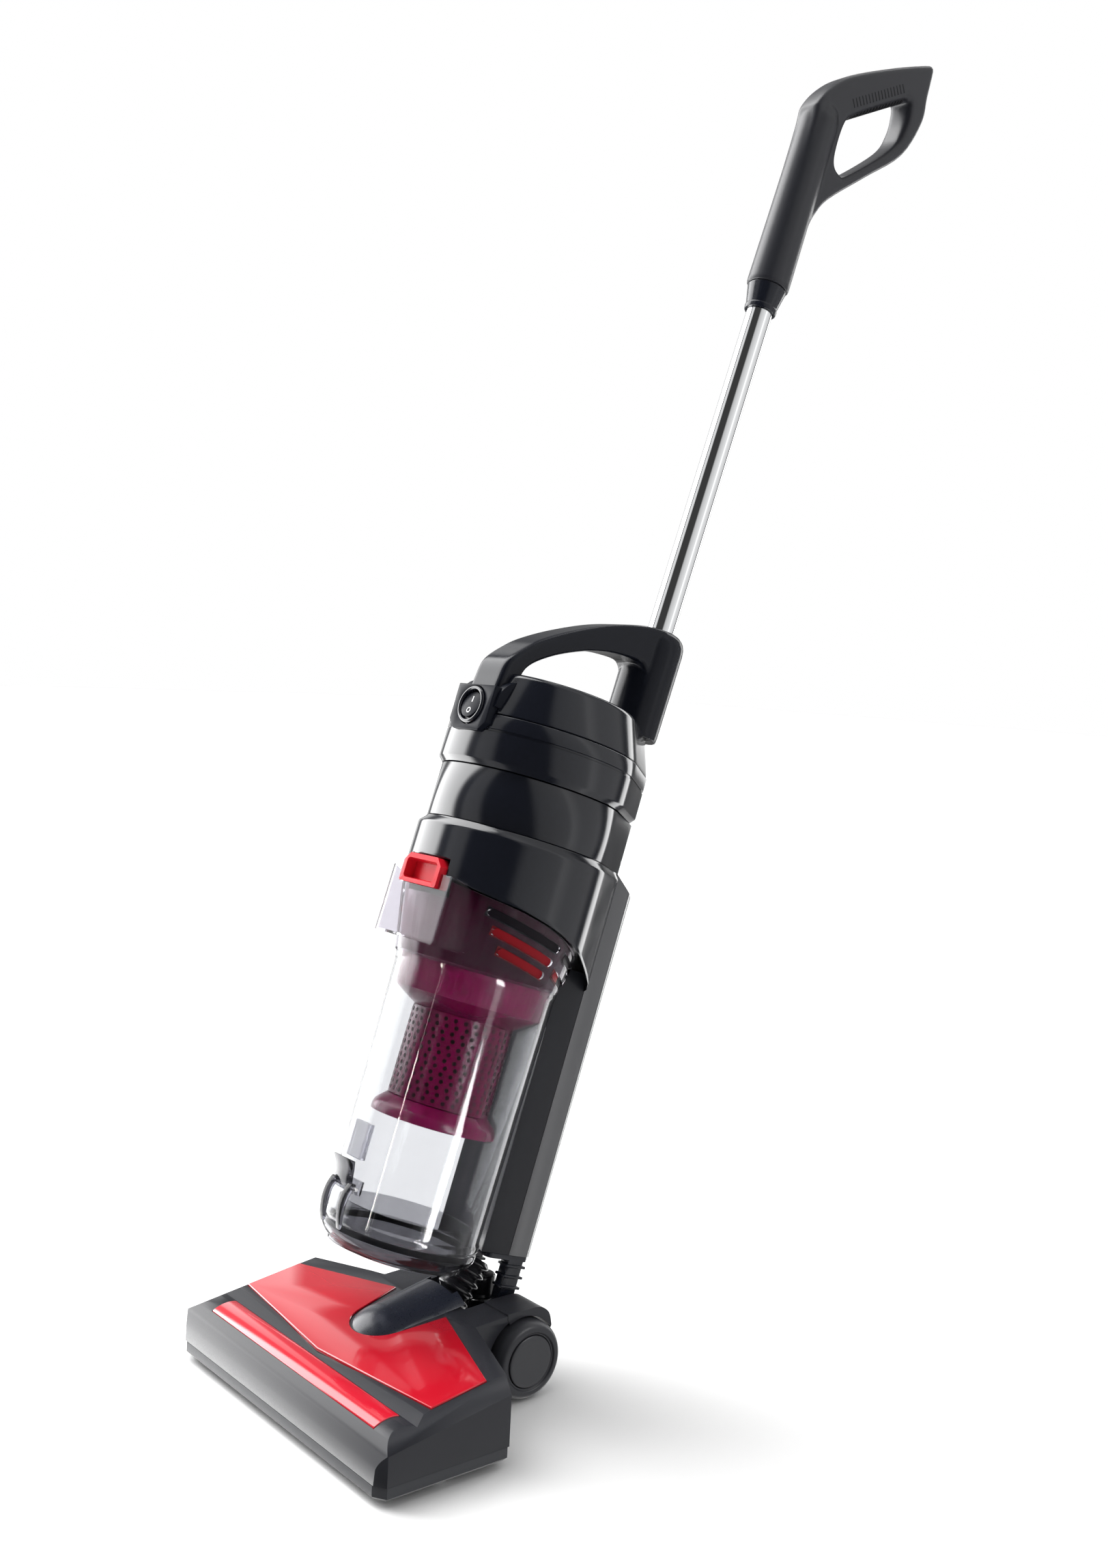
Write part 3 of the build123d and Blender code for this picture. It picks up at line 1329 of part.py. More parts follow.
with BuildPart() as carry_handle:
    with BuildSketch(side.offset(-ARCH_HALF)):
        with BuildLine():
            outer = Spline(*ARCH_OUTER)
            Polyline(outer @ 1, (-15, 470), (-30, 470), (-30, 530))
            inner = Spline(*ARCH_INNER)
            Polyline((-30, 530), inner @ 1)
            Polyline(inner @ 0, outer @ 0)
        make_face()
    extrude(amount=2 * ARCH_HALF)
    arch_edges = carry_handle.edges().filter_by(GeomType.BSPLINE).sort_by(SortBy.LENGTH)
    fillet(arch_edges[-2:], ARCH_ROUND)
    fillet(carry_handle.edges().filter_by(GeomType.BSPLINE).sort_by(SortBy.LENGTH)[:2], ARCH_ROUND)
    add(post_form())
    deck_seat = hull_form(DECK_LOW, DECK_TOP + GAP, DECK_R + GAP, DECK_REAR_R + GAP, CAP_REAR_B, DECK_TAPER)
    add(deck_seat, mode=Mode.SUBTRACT)
    add(hull_form(440, DECK_LOW, CAP_R + GAP, CAP_REAR_R + GAP, CAP_REAR_B), mode=Mode.SUBTRACT)
    add(switch_form(GAP), mode=Mode.SUBTRACT)
    with BuildSketch(Plane(tube_at(TUBE_LOW - 0.5), x_dir=(1, 0, 0), z_dir=tube_up)):
        Circle(TUBE_R + 0.3)
    extrude(amount=120, mode=Mode.SUBTRACT)
out(carry_handle, "carry_handle")

with BuildPart() as tube:
    with BuildSketch(Plane(tube_at(TUBE_LOW), x_dir=(1, 0, 0), z_dir=tube_up)):
        Circle(TUBE_R)
        Circle(TUBE_R - TUBE_T, mode=Mode.SUBTRACT)
    extrude(amount=TUBE_TOP - TUBE_LOW)
out(tube, "tube")

# Loop handle with a tapered collar and a ribbed finger insert
GRIP_LOW = 880.0
COLLAR_BOTTOM = 858.0
SHAFT_R_LOW = 18.2
SHAFT_R_TOP = 17.0
GRIP_OUTER = [
    (-21.5, 960), (-21.5, 1036), (-8, 1066), (12, 1089), (58.5, 1125), (99, 1153), (106.5, 1150),
    (107, 1123), (109, 1099), (95, 1060), (60, 1019), (24, 977), (12, 955), (8, 940),
]
GRIP_LOOP = [(21, 1050), (78, 1104), (81, 1080), (73, 1056), (37, 1010), (29, 1007), (21, 1013)]
GRIP_HOLLOW = [
    (-15, 990), (-15, 1030), (-3, 1060), (18, 1083), (60, 1117), (98, 1144), (98, 1124), (20, 1062),
    (14, 1042), (14, 990),
]
GRIP_T = 3.2
RIBS = 17
INSERT_HALF = 11.0
INSERT_T = 4.0
grip_dir = Vector(57, 54, 0).normalized()


def shaft_form(low, high, r_low, r_high):
    """Tapered round along the tube's axis."""
    with BuildPart() as form:
        with BuildSketch(Plane(tube_at(low), x_dir=(1, 0, 0), z_dir=tube_up)):
            Circle(r_low)
        extrude(amount=high - low, taper=degrees(atan2(r_low - r_high, high - low)))
    return form.part


def insert_form(grow):
    """Strip along the underside of the grip bar."""
    start = Vector(26.5, 1055.2, 0)
    end = Vector(73.5, 1099.7, 0)
    normal = Vector(-grip_dir.Y, grip_dir.X, 0)
    deep = normal * (INSERT_T + grow)
    low = normal * -1.6
    with BuildPart() as form:
        with BuildSketch(side):
            with BuildLine():
                Polyline(
                    *[(p.X, p.Y) for p in (
                        start + low - grip_dir * grow, end + low + grip_dir * grow,
                        end + deep + grip_dir * grow, start + deep - grip_dir * grow,
                    )], close=True,
                )
            make_face()
        extrude(amount=INSERT_HALF + grow, both=True)
    return form.part


with BuildPart() as grip:
    with BuildSketch(side):
        with BuildLine():
            Polyline(*GRIP_OUTER, close=True)
        make_face()
        fillet(vertices(), 6)
        with BuildLine():
            Polyline(*GRIP_LOOP, close=True)
        loop = make_face(mode=Mode.PRIVATE)
        add(loop, mode=Mode.SUBTRACT)
    extrude(amount=GRIP_HALF, both=True)
    chamfer(grip.faces().filter_by(Axis.X).edges(), 4.5)
    add(shaft_form(GRIP_LOW, 1036, SHAFT_R_LOW, SHAFT_R_TOP))
    with Locations(tube_at(1034)):
        Sphere(16.6)
    add(shaft_form(GRIP_LOW - 1, TUBE_TOP + 1, TUBE_R + 0.3, TUBE_R + 0.3), mode=Mode.SUBTRACT)
    add(insert_form(GAP), mode=Mode.SUBTRACT)
    with BuildSketch(side):
        with BuildLine():
            Polyline(*GRIP_HOLLOW, close=True)
        make_face()
    extrude(amount=GRIP_HALF - GRIP_T, both=True, mode=Mode.SUBTRACT)
out(grip, "grip")

with BuildPart() as grip_collar:
    add(shaft_form(COLLAR_BOTTOM, GRIP_LOW - GAP, 13.6, 16.8))
    add(shaft_form(COLLAR_BOTTOM - 1, GRIP_LOW + 1, TUBE_R + 0.3, TUBE_R + 0.3), mode=Mode.SUBTRACT)
out(grip_collar, "grip_collar")

with BuildPart() as grip_insert:
    add(insert_form(0))
    for i in range(RIBS - 1):
        spot = Vector(26.5, 1055.2, 0) + grip_dir * (64.7 * (i + 0.75) / RIBS)
        with BuildSketch(side):
            with Locations((spot.X, spot.Y)):
                Rectangle(1.8, 3.4, rotation=43.5)
        extrude(amount=INSERT_HALF + 1, both=True, mode=Mode.SUBTRACT)
out(grip_insert, "grip_insert")

# Suction motor: can, stator, fan with rotor and shaft, gasket
CAN_R = 45.0
CAN_LOW = 352.0
CAN_HIGH = 408.0
CAN_T = 1.5
SHAFT_R = 3.0
FAN_R = 42.0
BLADES = 9
STATOR_IN = 33.0
STATOR_OUT = CAN_R - CAN_T - GAP
ROTOR_R = STATOR_IN - 1.0
with BuildPart() as motor_can:
    add(disc_form(CAN_R, CAN_LOW, CAN_HIGH))
    add(disc_form(CAN_R - CAN_T, CAN_LOW + CAN_T, CAN_HIGH - CAN_T), mode=Mode.SUBTRACT)
    add(disc_form(SHAFT_R + 0.5, CAN_LOW - 1, CAN_LOW + 4), mode=Mode.SUBTRACT)
    add(disc_form(9, CAN_HIGH - 4, CAN_HIGH + 3))
    add(disc_form(SHAFT_R + RUN, CAN_HIGH - 5, CAN_HIGH + 1), mode=Mode.SUBTRACT)
out(motor_can, "motor_can")

with BuildPart() as motor_stator:
    add(ring_form([(STATOR_IN, 364), (STATOR_OUT, 364), (STATOR_OUT, 396), (STATOR_IN, 396)]))
out(motor_stator, "motor_stator")

with BuildPart() as fan:
    add(ring_form([(0, 345), (FAN_R, 345), (FAN_R, 346.4), (0, 346.4)]))
    add(ring_form([(0, 345), (8, 345), (6, 350.4), (SHAFT_R, 350.8), (SHAFT_R, 407.5), (0, 407.5)]))
    add(ring_form([(ROTOR_R - 8, 366), (ROTOR_R, 366), (ROTOR_R, 394), (ROTOR_R - 8, 394)]))
    add(ring_form([(0, 378), (ROTOR_R - 7, 378), (ROTOR_R - 7, 382), (0, 382)]))
    for i in range(BLADES):
        with BuildSketch(body.offset(346)):
            with Locations(Location((0, BIN_B, 0), 360.0 / BLADES * i)):
                with Locations(Location((24, 0, 0), 28)):
                    Rectangle(26, 1.4)
        extrude(amount=4.4)
out(fan, "fan")

with BuildPart() as motor_gasket:
    gasket_r = WAIST_R - HOUSE_T - GAP - 6
    add(ring_form([(CAN_R + GAP, 372), (gasket_r, 372), (gasket_r, 376), (CAN_R + GAP, 376)]))
out(motor_gasket, "motor_gasket")

# Switch: plate, round bezel and rocker
SWITCH_MID = 455.0
BEZEL_R = 14.5
ROCKER_R = 10.0
ROCKER_B = SWITCH_FRONT + 3.2
ROCKER_PIN_R = 1.2
with BuildPart() as switch_plate:
    add(switch_form(0))
    with BuildSketch(facing(SWITCH_FRONT - 3, SWITCH_MID)):
        Circle(BEZEL_R + GAP)
    extrude(amount=11, mode=Mode.SUBTRACT)
out(switch_plate, "switch_plate")

with BuildPart() as switch_bezel:
    with BuildSketch(facing(SWITCH_FRONT - 1.6, SWITCH_MID)):
        Circle(BEZEL_R)
        Circle(ROCKER_R + 1.5, mode=Mode.SUBTRACT)
    extrude(amount=7.6)
    with BuildSketch(side):
        with Locations((ROCKER_B, SWITCH_MID)):
            Circle(ROCKER_PIN_R + RUN)
    extrude(amount=20, both=True, mode=Mode.SUBTRACT)
out(switch_bezel, "switch_bezel")

with BuildPart() as rocker:
    with BuildSketch(facing(SWITCH_FRONT - 3, SWITCH_MID)):
        Circle(ROCKER_R)
    extrude(amount=7.4)
    with BuildSketch(side):
        with BuildLine():
            Polyline(
                (SWITCH_FRONT - 9, SWITCH_MID - 14), (SWITCH_FRONT - 2.6, SWITCH_MID - 14),
                (SWITCH_FRONT - 0.6, SWITCH_MID), (SWITCH_FRONT + 1.4, SWITCH_MID + 14),
                (SWITCH_FRONT - 9, SWITCH_MID + 14), close=True,
            )
        make_face()
    extrude(amount=20, both=True, mode=Mode.SUBTRACT)
    with BuildSketch(side):
        with Locations((ROCKER_B, SWITCH_MID)):
            Circle(ROCKER_PIN_R)
    extrude(amount=BEZEL_R - 1.5, both=True)
out(rocker, "rocker")

# Screws in the waist and the rear of the housing, one node for all
with BuildPart() as body_screws:
    for s in (1, -1):
        with BuildSketch(side.offset(s * 14)):
            with Locations(BODY_SCREW):
                Circle(BODY_SCREW_R)
        extrude(amount=s * 4)
out(body_screws, "body_screws")
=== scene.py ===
"""Dressed model of an upright vacuum cleaner, laid out as an add-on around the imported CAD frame."""
from math import acos, asin, atan2, cos, pi, radians, sin, sqrt, tau

import bmesh
import bpy
from bpy.props import FloatProperty, FloatVectorProperty, IntProperty, PointerProperty
from bpy.types import Operator, Panel, PropertyGroup
from mathutils import Matrix, Vector


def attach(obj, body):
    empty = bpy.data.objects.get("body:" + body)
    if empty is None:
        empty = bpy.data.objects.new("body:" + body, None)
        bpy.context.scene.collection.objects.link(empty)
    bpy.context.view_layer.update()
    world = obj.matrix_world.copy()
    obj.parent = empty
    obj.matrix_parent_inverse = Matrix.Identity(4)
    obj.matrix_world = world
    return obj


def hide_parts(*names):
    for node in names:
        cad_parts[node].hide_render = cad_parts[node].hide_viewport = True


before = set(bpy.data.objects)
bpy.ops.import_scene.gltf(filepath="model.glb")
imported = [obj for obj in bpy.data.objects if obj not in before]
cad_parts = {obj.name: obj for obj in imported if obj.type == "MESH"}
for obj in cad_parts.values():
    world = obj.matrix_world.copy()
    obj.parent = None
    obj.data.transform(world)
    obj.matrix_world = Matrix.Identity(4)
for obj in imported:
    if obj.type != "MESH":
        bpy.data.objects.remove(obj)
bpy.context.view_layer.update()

bl_info = {
    "name": "Upright vacuum cleaner",
    "version": (1, 0, 0),
    "blender": (4, 5, 0),
    "location": "View3D > Sidebar > Vacuum",
    "description": "Builds the dressed pieces of an upright vacuum cleaner around its CAD frame",
    "category": "Object",
}

MM = 0.001
LEAN = radians(17.5)
PIVOT_Y = 114.0
PIVOT_Z = 29.7
BIN_B = -99.0
# Collar: the cone's radius and height at its foot and its slope, then the pod's front, half width and foot
COLLAR_R, COLLAR_LOW, COLLAR_SLOPE = 64.7, 266.0, 0.165
POD_FRONT, POD_HALF, POD_LOW = 75.5, 41.0, 276.0
SWITCH_H = 455.0
# Lower edge of the housing: (distance back, height)
SWEEP = [(-190, 332.6), (-157, 322.5), (-122.5, 316.8), (-85.6, 307.9), (-40, 291.3), (-2, 272)]
TUBE_TILT = radians(1.53)
TUBE_B = -17.1
# Merging distances in metres, for finished pieces and for CAD copies
MERGE, CAD_MERGE = 2e-6, 4e-6
LOOKS = {}
# Short names for the shader's sockets
SOCKETS = {
    "gloss": "Specular IOR Level", "coat": "Coat Weight", "coat_rough": "Coat Roughness",
    "clear": "Transmission Weight", "metal": "Metallic", "ior": "IOR",
}


class VacuumShape(PropertyGroup):
    """Sizes of the dressed details."""

    edge: FloatProperty(
        name="Edge round", description="Rounding of moulded edges, in millimetres",
        default=0.9, min=0.1, max=3.0)
    segments: IntProperty(
        name="Turned segments", description="Faces around each turned piece", default=96, min=24, max=192)
    voxel: FloatProperty(
        name="Blend grain", description="Voxel of the blended handles, in millimetres",
        default=1.5, min=0.8, max=4.0)
    ribs: IntProperty(
        name="Finger ribs", description="Ribs under the loop handle", default=17, min=4, max=40)
    hole_columns: IntProperty(
        name="Hole columns", description="Columns of air holes in the shroud", default=32, min=8, max=80)
    hole_rows: IntProperty(
        name="Hole rows", description="Rows of air holes in the shroud", default=13, min=4, max=40)


COLOUR = {"subtype": "COLOR", "min": 0.0, "max": 1.0}


class VacuumLook(PropertyGroup):
    """Main colours of the machine."""

    shell: FloatVectorProperty(
        name="Shell", description="Satin charcoal of the head and the handle",
        default=(0.0145, 0.015, 0.0185), **COLOUR)
    gloss: FloatVectorProperty(
        name="Housing", description="Glossy black of the motor housing",
        default=(0.006, 0.007, 0.011), **COLOUR)
    accent: FloatVectorProperty(
        name="Accent", description="Red of the panel and the button",
        default=(0.42, 0.006, 0.016), **COLOUR)
    cyclone: FloatVectorProperty(
        name="Cyclone", description="Burgundy of the cyclone",
        default=(0.046, 0.0008, 0.0145), **COLOUR)


UP = Vector((0.0, sin(LEAN), cos(LEAN)))
BACK = Vector((0.0, cos(LEAN), -sin(LEAN)))
SIDE = Vector((1.0, 0.0, 0.0))
PIVOT = Vector((0.0, PIVOT_Y, PIVOT_Z)) * MM


def body_point(x, b, h):
    """A point in the leaning body's own millimetres, as metres in the frame."""
    return PIVOT + (SIDE * x + BACK * b + UP * h) * MM


TUBE_UP = UP * cos(TUBE_TILT) + BACK * sin(TUBE_TILT)
TUBE_BACK = BACK * cos(TUBE_TILT) - UP * sin(TUBE_TILT)
# Turning axes: a point, the direction along the axis, and where a turn starts
BIN_AXIS = (body_point(0, BIN_B, 0), UP, -BACK)
TUBE_AXIS = (body_point(0, TUBE_B, 490) - TUBE_UP * 490 * MM, TUBE_UP, -TUBE_BACK)
AXLE_AXIS = (PIVOT, SIDE, Vector((0.0, 0.0, -1.0)))
SWITCH_AXIS = (body_point(0, 0, SWITCH_H), BACK, UP)


def curve_points(points, steps, closed=False):
    """Smooth line through points, as more points."""
    count = len(points)
    spans = count if closed else count - 1
    line = []
    for i in range(spans):
        near = [k % count if closed else min(max(k, 0), count - 1) for k in range(i - 1, i + 3)]
        p = [Vector(points[k]) for k in near]
        for k in range(steps):
            t = k / steps
            a = p[1] * 2 + (p[2] - p[0]) * t
            c = (p[0] * 2 - p[1] * 5 + p[2] * 4 - p[3]) * t * t
            d = (p[1] * 3 - p[0] - p[2] * 3 + p[3]) * t * t * t
            line.append((a + c + d) / 2)
    if not closed:
        line.append(Vector(points[-1]))
    return line


SWEEP_LINE = curve_points(SWEEP, 12)


def sweep_height(b):
    """Height of the housing's lower edge at a distance back."""
    for p, q in zip(SWEEP_LINE, SWEEP_LINE[1:]):
        if p.x <= b <= q.x:
            return p.y + (q.y - p.y) * (b - p.x) / (q.x - p.x)
    return SWEEP_LINE[0].y if b < SWEEP_LINE[0].x else SWEEP_LINE[-1].y


def soften(points, steps=4):
    """Round the corners of a closed outline of (u, v, radius) points; those of (u, v) stay sharp."""
    line = []
    count = len(points)
    for i, (u, v, *radius) in enumerate(points):
        if not radius:
            line.append((u, v))
            continue
        corner = Vector((u, v))
        before = Vector(points[i - 1][:2]) - corner
        after = Vector(points[(i + 1) % count][:2]) - corner
        reach = min(radius[0], before.length * 0.49, after.length * 0.49)
        start = corner + before.normalized() * reach
        end = corner + after.normalized() * reach
        for k in range(steps + 1):
            t = k / steps
            q = start * (1 - t) ** 2 + corner * 2 * t * (1 - t) + end * t * t
            line.append((q.x, q.y))
    return line


def outline_loop(bm, points, closed=True):
    """Edges along a row of points."""
    verts = [bm.verts.new(p) for p in points]
    ends = verts[1:] + verts[:1] if closed else verts[1:]
    return [bm.edges.new(pair) for pair in zip(verts, ends)]


def bridged(bm, rings, caps=(True, True)):
    """Skin over a row of closed outlines, each bridged to the next; gives their edges."""
    loops = [outline_loop(bm, ring) for ring in rings]
    for low, high in zip(loops, loops[1:]):
        bmesh.ops.bridge_loops(bm, edges=low + high)
    for loop, wanted in zip((loops[0], loops[-1]), caps):
        if wanted:
            bmesh.ops.edgeloop_fill(bm, edges=loop)
    return loops


def turned(bm, outline, axis, segments, sign=1.0):
    """Turn an outline of (radius, height) points right round an axis."""
    centre, along, start = axis
    closed = outline[0][0] > 0 or outline[-1][0] > 0
    edges = outline_loop(bm, [centre + (start * r + along * h * sign) * MM for r, h in outline], closed)
    verts = list(dict.fromkeys(v for e in edges for v in e.verts))
    bmesh.ops.spin(
        bm, geom=verts + edges, cent=centre, axis=along, angle=tau, steps=segments, use_merge=True)


def lathe(outline, axis, segments, sign=1.0):
    """New shape turned from an outline that is softened first."""
    bm = bmesh.new()
    turned(bm, soften(outline), axis, segments, sign)
    return bm


def merged(bm, distance):
    """Join vertices that lie together."""
    bmesh.ops.remove_doubles(bm, verts=bm.verts[:], dist=distance)


def outward(bm):
    """Turn all faces the same way, outwards on a closed shape."""
    bmesh.ops.recalc_face_normals(bm, faces=bm.faces[:])


def block(bm, outline, place, low, high):
    """Straight block on a closed outline of (u, v) points; place takes u, v and the third size."""
    bridged(bm, [[place(u, v, w) for u, v in outline] for w in (low, high)])


def round_edges(bm, width, angle=30.0, segments=2, wanted=None):
    """Bevel the edges that turn by more than an angle."""
    edges = [e for e in bm.edges if len(e.link_faces) == 2 and e.calc_face_angle(0.0) > radians(angle)]
    edges = [e for e in edges if e.calc_length() > width * MM]
    if wanted:
        edges = [e for e in edges if wanted((e.verts[0].co + e.verts[1].co) / 2 / MM)]
    bmesh.ops.bevel(
        bm, geom=edges, offset=width * MM, offset_type="OFFSET", segments=segments, profile=0.5,
        affect="EDGES", clamp_overlap=True, loop_slide=True, material=-1)


def placed(name, data):
    """New object in the scene."""
    obj = bpy.data.objects.new(name, data)
    bpy.context.scene.collection.objects.link(obj)
    return obj


def meshed(name, bm):
    """New mesh from a finished bmesh, which goes."""
    mesh = bpy.data.meshes.new(name)
    bm.to_mesh(mesh)
    bm.free()
    return mesh


def blended(bm, voxel, steps):
    """Merge overlapping forms into one skin and smooth it."""
    outward(bm)
    obj = placed("blend", meshed("blend", bm))
    remesh = obj.modifiers.new("Remesh", "REMESH")
    remesh.mode = "VOXEL"
    remesh.voxel_size = voxel * MM
    soft = obj.modifiers.new("Smooth", "SMOOTH")
    soft.factor = 0.5
    soft.iterations = steps
    return settled([obj])


def slotted(bm, slots, half):
    """Cut round-ended slots through both flanks, each given from b, h to b, h about the bin's axis."""
    cutter = bmesh.new()
    for b0, h0, b1, h1 in slots:
        along = Vector((b1 - b0, h1 - h0)).normalized()
        across = Vector((-along.y, along.x)) * half
        first = Vector((BIN_B + b0, h0)) + along * half
        last = Vector((BIN_B + b1, h1)) - along * half
        outline = []
        for centre, start in ((last, -90), (first, 90)):
            for k in range(9):
                turn = radians(start + 22.5 * k)
                outline.append(centre + along * cos(turn) * half + across * sin(turn))
        for sign in (1.0, -1.0):
            block(cutter, outline, lambda b, h, x: body_point(x * sign, b, h), 25.0, 95.0)
    objects = []
    for name, form in (("collar_form", bm), ("slot_form", cutter)):
        merged(form, MERGE)
        outward(form)
        objects.append(placed(name, meshed(name, form)))
    cut = objects[0].modifiers.new("Slots", "BOOLEAN")
    cut.operation = "DIFFERENCE"
    cut.solver = "EXACT"
    cut.object = objects[1]
    return settled(objects)


def settled(objects):
    """Bmesh of the first object with its modifiers applied; all the objects go."""
    graph = bpy.context.evaluated_depsgraph_get()
    done = bpy.data.meshes.new_from_object(objects[0].evaluated_get(graph))
    for obj in objects:
        bpy.data.objects.remove(obj)
    result = bmesh.new()
    result.from_mesh(done)
    bpy.data.meshes.remove(done)
    return result


def copied(node, width, wanted=None):
    """Copy of a CAD node with rounded edges; wanted takes an edge's middle, says whether to round it."""
    bm = bmesh.new()
    bm.from_mesh(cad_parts[node].data)
    merged(bm, CAD_MERGE)
    bmesh.ops.dissolve_limit(bm, angle_limit=radians(1.5), verts=bm.verts[:], edges=bm.edges[:])
    round_edges(bm, width, wanted=wanted)
    return bm


def piece(name, bm, body, look, nodes=(), angle=38.0):
    """Make an object of a finished shape and hang it on its CAD body."""
    merged(bm, MERGE)
    bmesh.ops.dissolve_degenerate(bm, dist=1e-7, edges=bm.edges[:])
    outward(bm)
    mesh = meshed(name, bm)
    for polygon in mesh.polygons:
        polygon.use_smooth = True
    mesh.set_sharp_from_angle(angle=radians(angle))
    mesh.materials.append(LOOKS[look])
    obj = placed(name, mesh)
    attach(obj, body)
    if nodes:
        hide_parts(*nodes)


def dress(name, node, width, body, look):
    """Piece that is a rounded copy of one CAD node."""
    piece(name, copied(node, width), body, look, [node])


def join(tree, *rows):
    """Links in a node tree, each given as a node, its output, the next node and its input."""
    for source, out, target, into in rows:
        tree.links.new(source.outputs[out], target.inputs[into])


def fill(node, values):
    """Constants of a node's inputs."""
    for name, value in values.items():
        node.inputs[name].default_value = value


def added(tree, kind, **values):
    """New shader node with constants on its inputs; an underscore in a name stands for a space."""
    node = tree.nodes.new("ShaderNode" + kind)
    fill(node, {name.replace("_", " "): value for name, value in values.items()})
    return node


def grain_group():
    """Shared node group: moulded grain and slow tone changes in object coordinates."""
    group = bpy.data.node_groups.new("moulded_grain", "ShaderNodeTree")
    for name, way, kind in (
            ("Scale", "INPUT", "Float"), ("Depth", "INPUT", "Float"), ("Tone", "OUTPUT", "Float"),
            ("Fine", "OUTPUT", "Float"), ("Normal", "OUTPUT", "Vector")):
        group.interface.new_socket(name, in_out=way, socket_type="NodeSocket" + kind)
    start = group.nodes.new("NodeGroupInput")
    end = group.nodes.new("NodeGroupOutput")
    where = added(group, "TexCoord")
    fine = added(group, "TexNoise", Detail=3.0)
    slow = added(group, "TexNoise", Scale=9.0, Detail=2.0)
    bump = added(group, "Bump", Distance=0.0004)
    join(
        group, (where, "Object", fine, "Vector"), (where, "Object", slow, "Vector"),
        (start, "Scale", fine, "Scale"), (start, "Depth", bump, "Strength"), (fine, "Fac", bump, "Height"),
        (slow, "Fac", end, "Tone"), (fine, "Fac", end, "Fine"), (bump, "Normal", end, "Normal"))
    return group


def paint(name, colour, rough, spread, scale, depth, tone=0.12, **sockets):
    """A procedural material: tone drift, roughness drift and moulded grain over a principled shader."""
    look = bpy.data.materials.new(name)
    look.use_nodes = True
    tree = look.node_tree
    shader = tree.nodes["Principled BSDF"]
    grain = added(tree, "Group")
    grain.node_tree = bpy.data.node_groups.get("moulded_grain") or grain_group()
    fill(grain, {"Scale": scale, "Depth": depth})
    low, high = max(rough - spread, 0.0), rough + spread
    ramp = added(tree, "MapRange", From_Min=0.3, From_Max=0.7, To_Min=low, To_Max=high)
    mix = added(tree, "Mix")
    mix.data_type = "RGBA"
    mix.inputs[6].default_value = (*[c * (1 - tone) for c in colour], 1.0)
    mix.inputs[7].default_value = (*[min(c * (1 + tone), 1.0) for c in colour], 1.0)
    join(
        tree, (grain, "Fine", ramp, "Value"), (ramp, "Result", shader, "Roughness"),
        (grain, "Tone", mix, 0), (mix, 2, shader, "Base Color"), (grain, "Normal", shader, "Normal"))
    fill(shader, {SOCKETS[short]: value for short, value in sockets.items()})
    if "clear" in sockets:
        lets_light_in(tree)
    LOOKS[name] = look


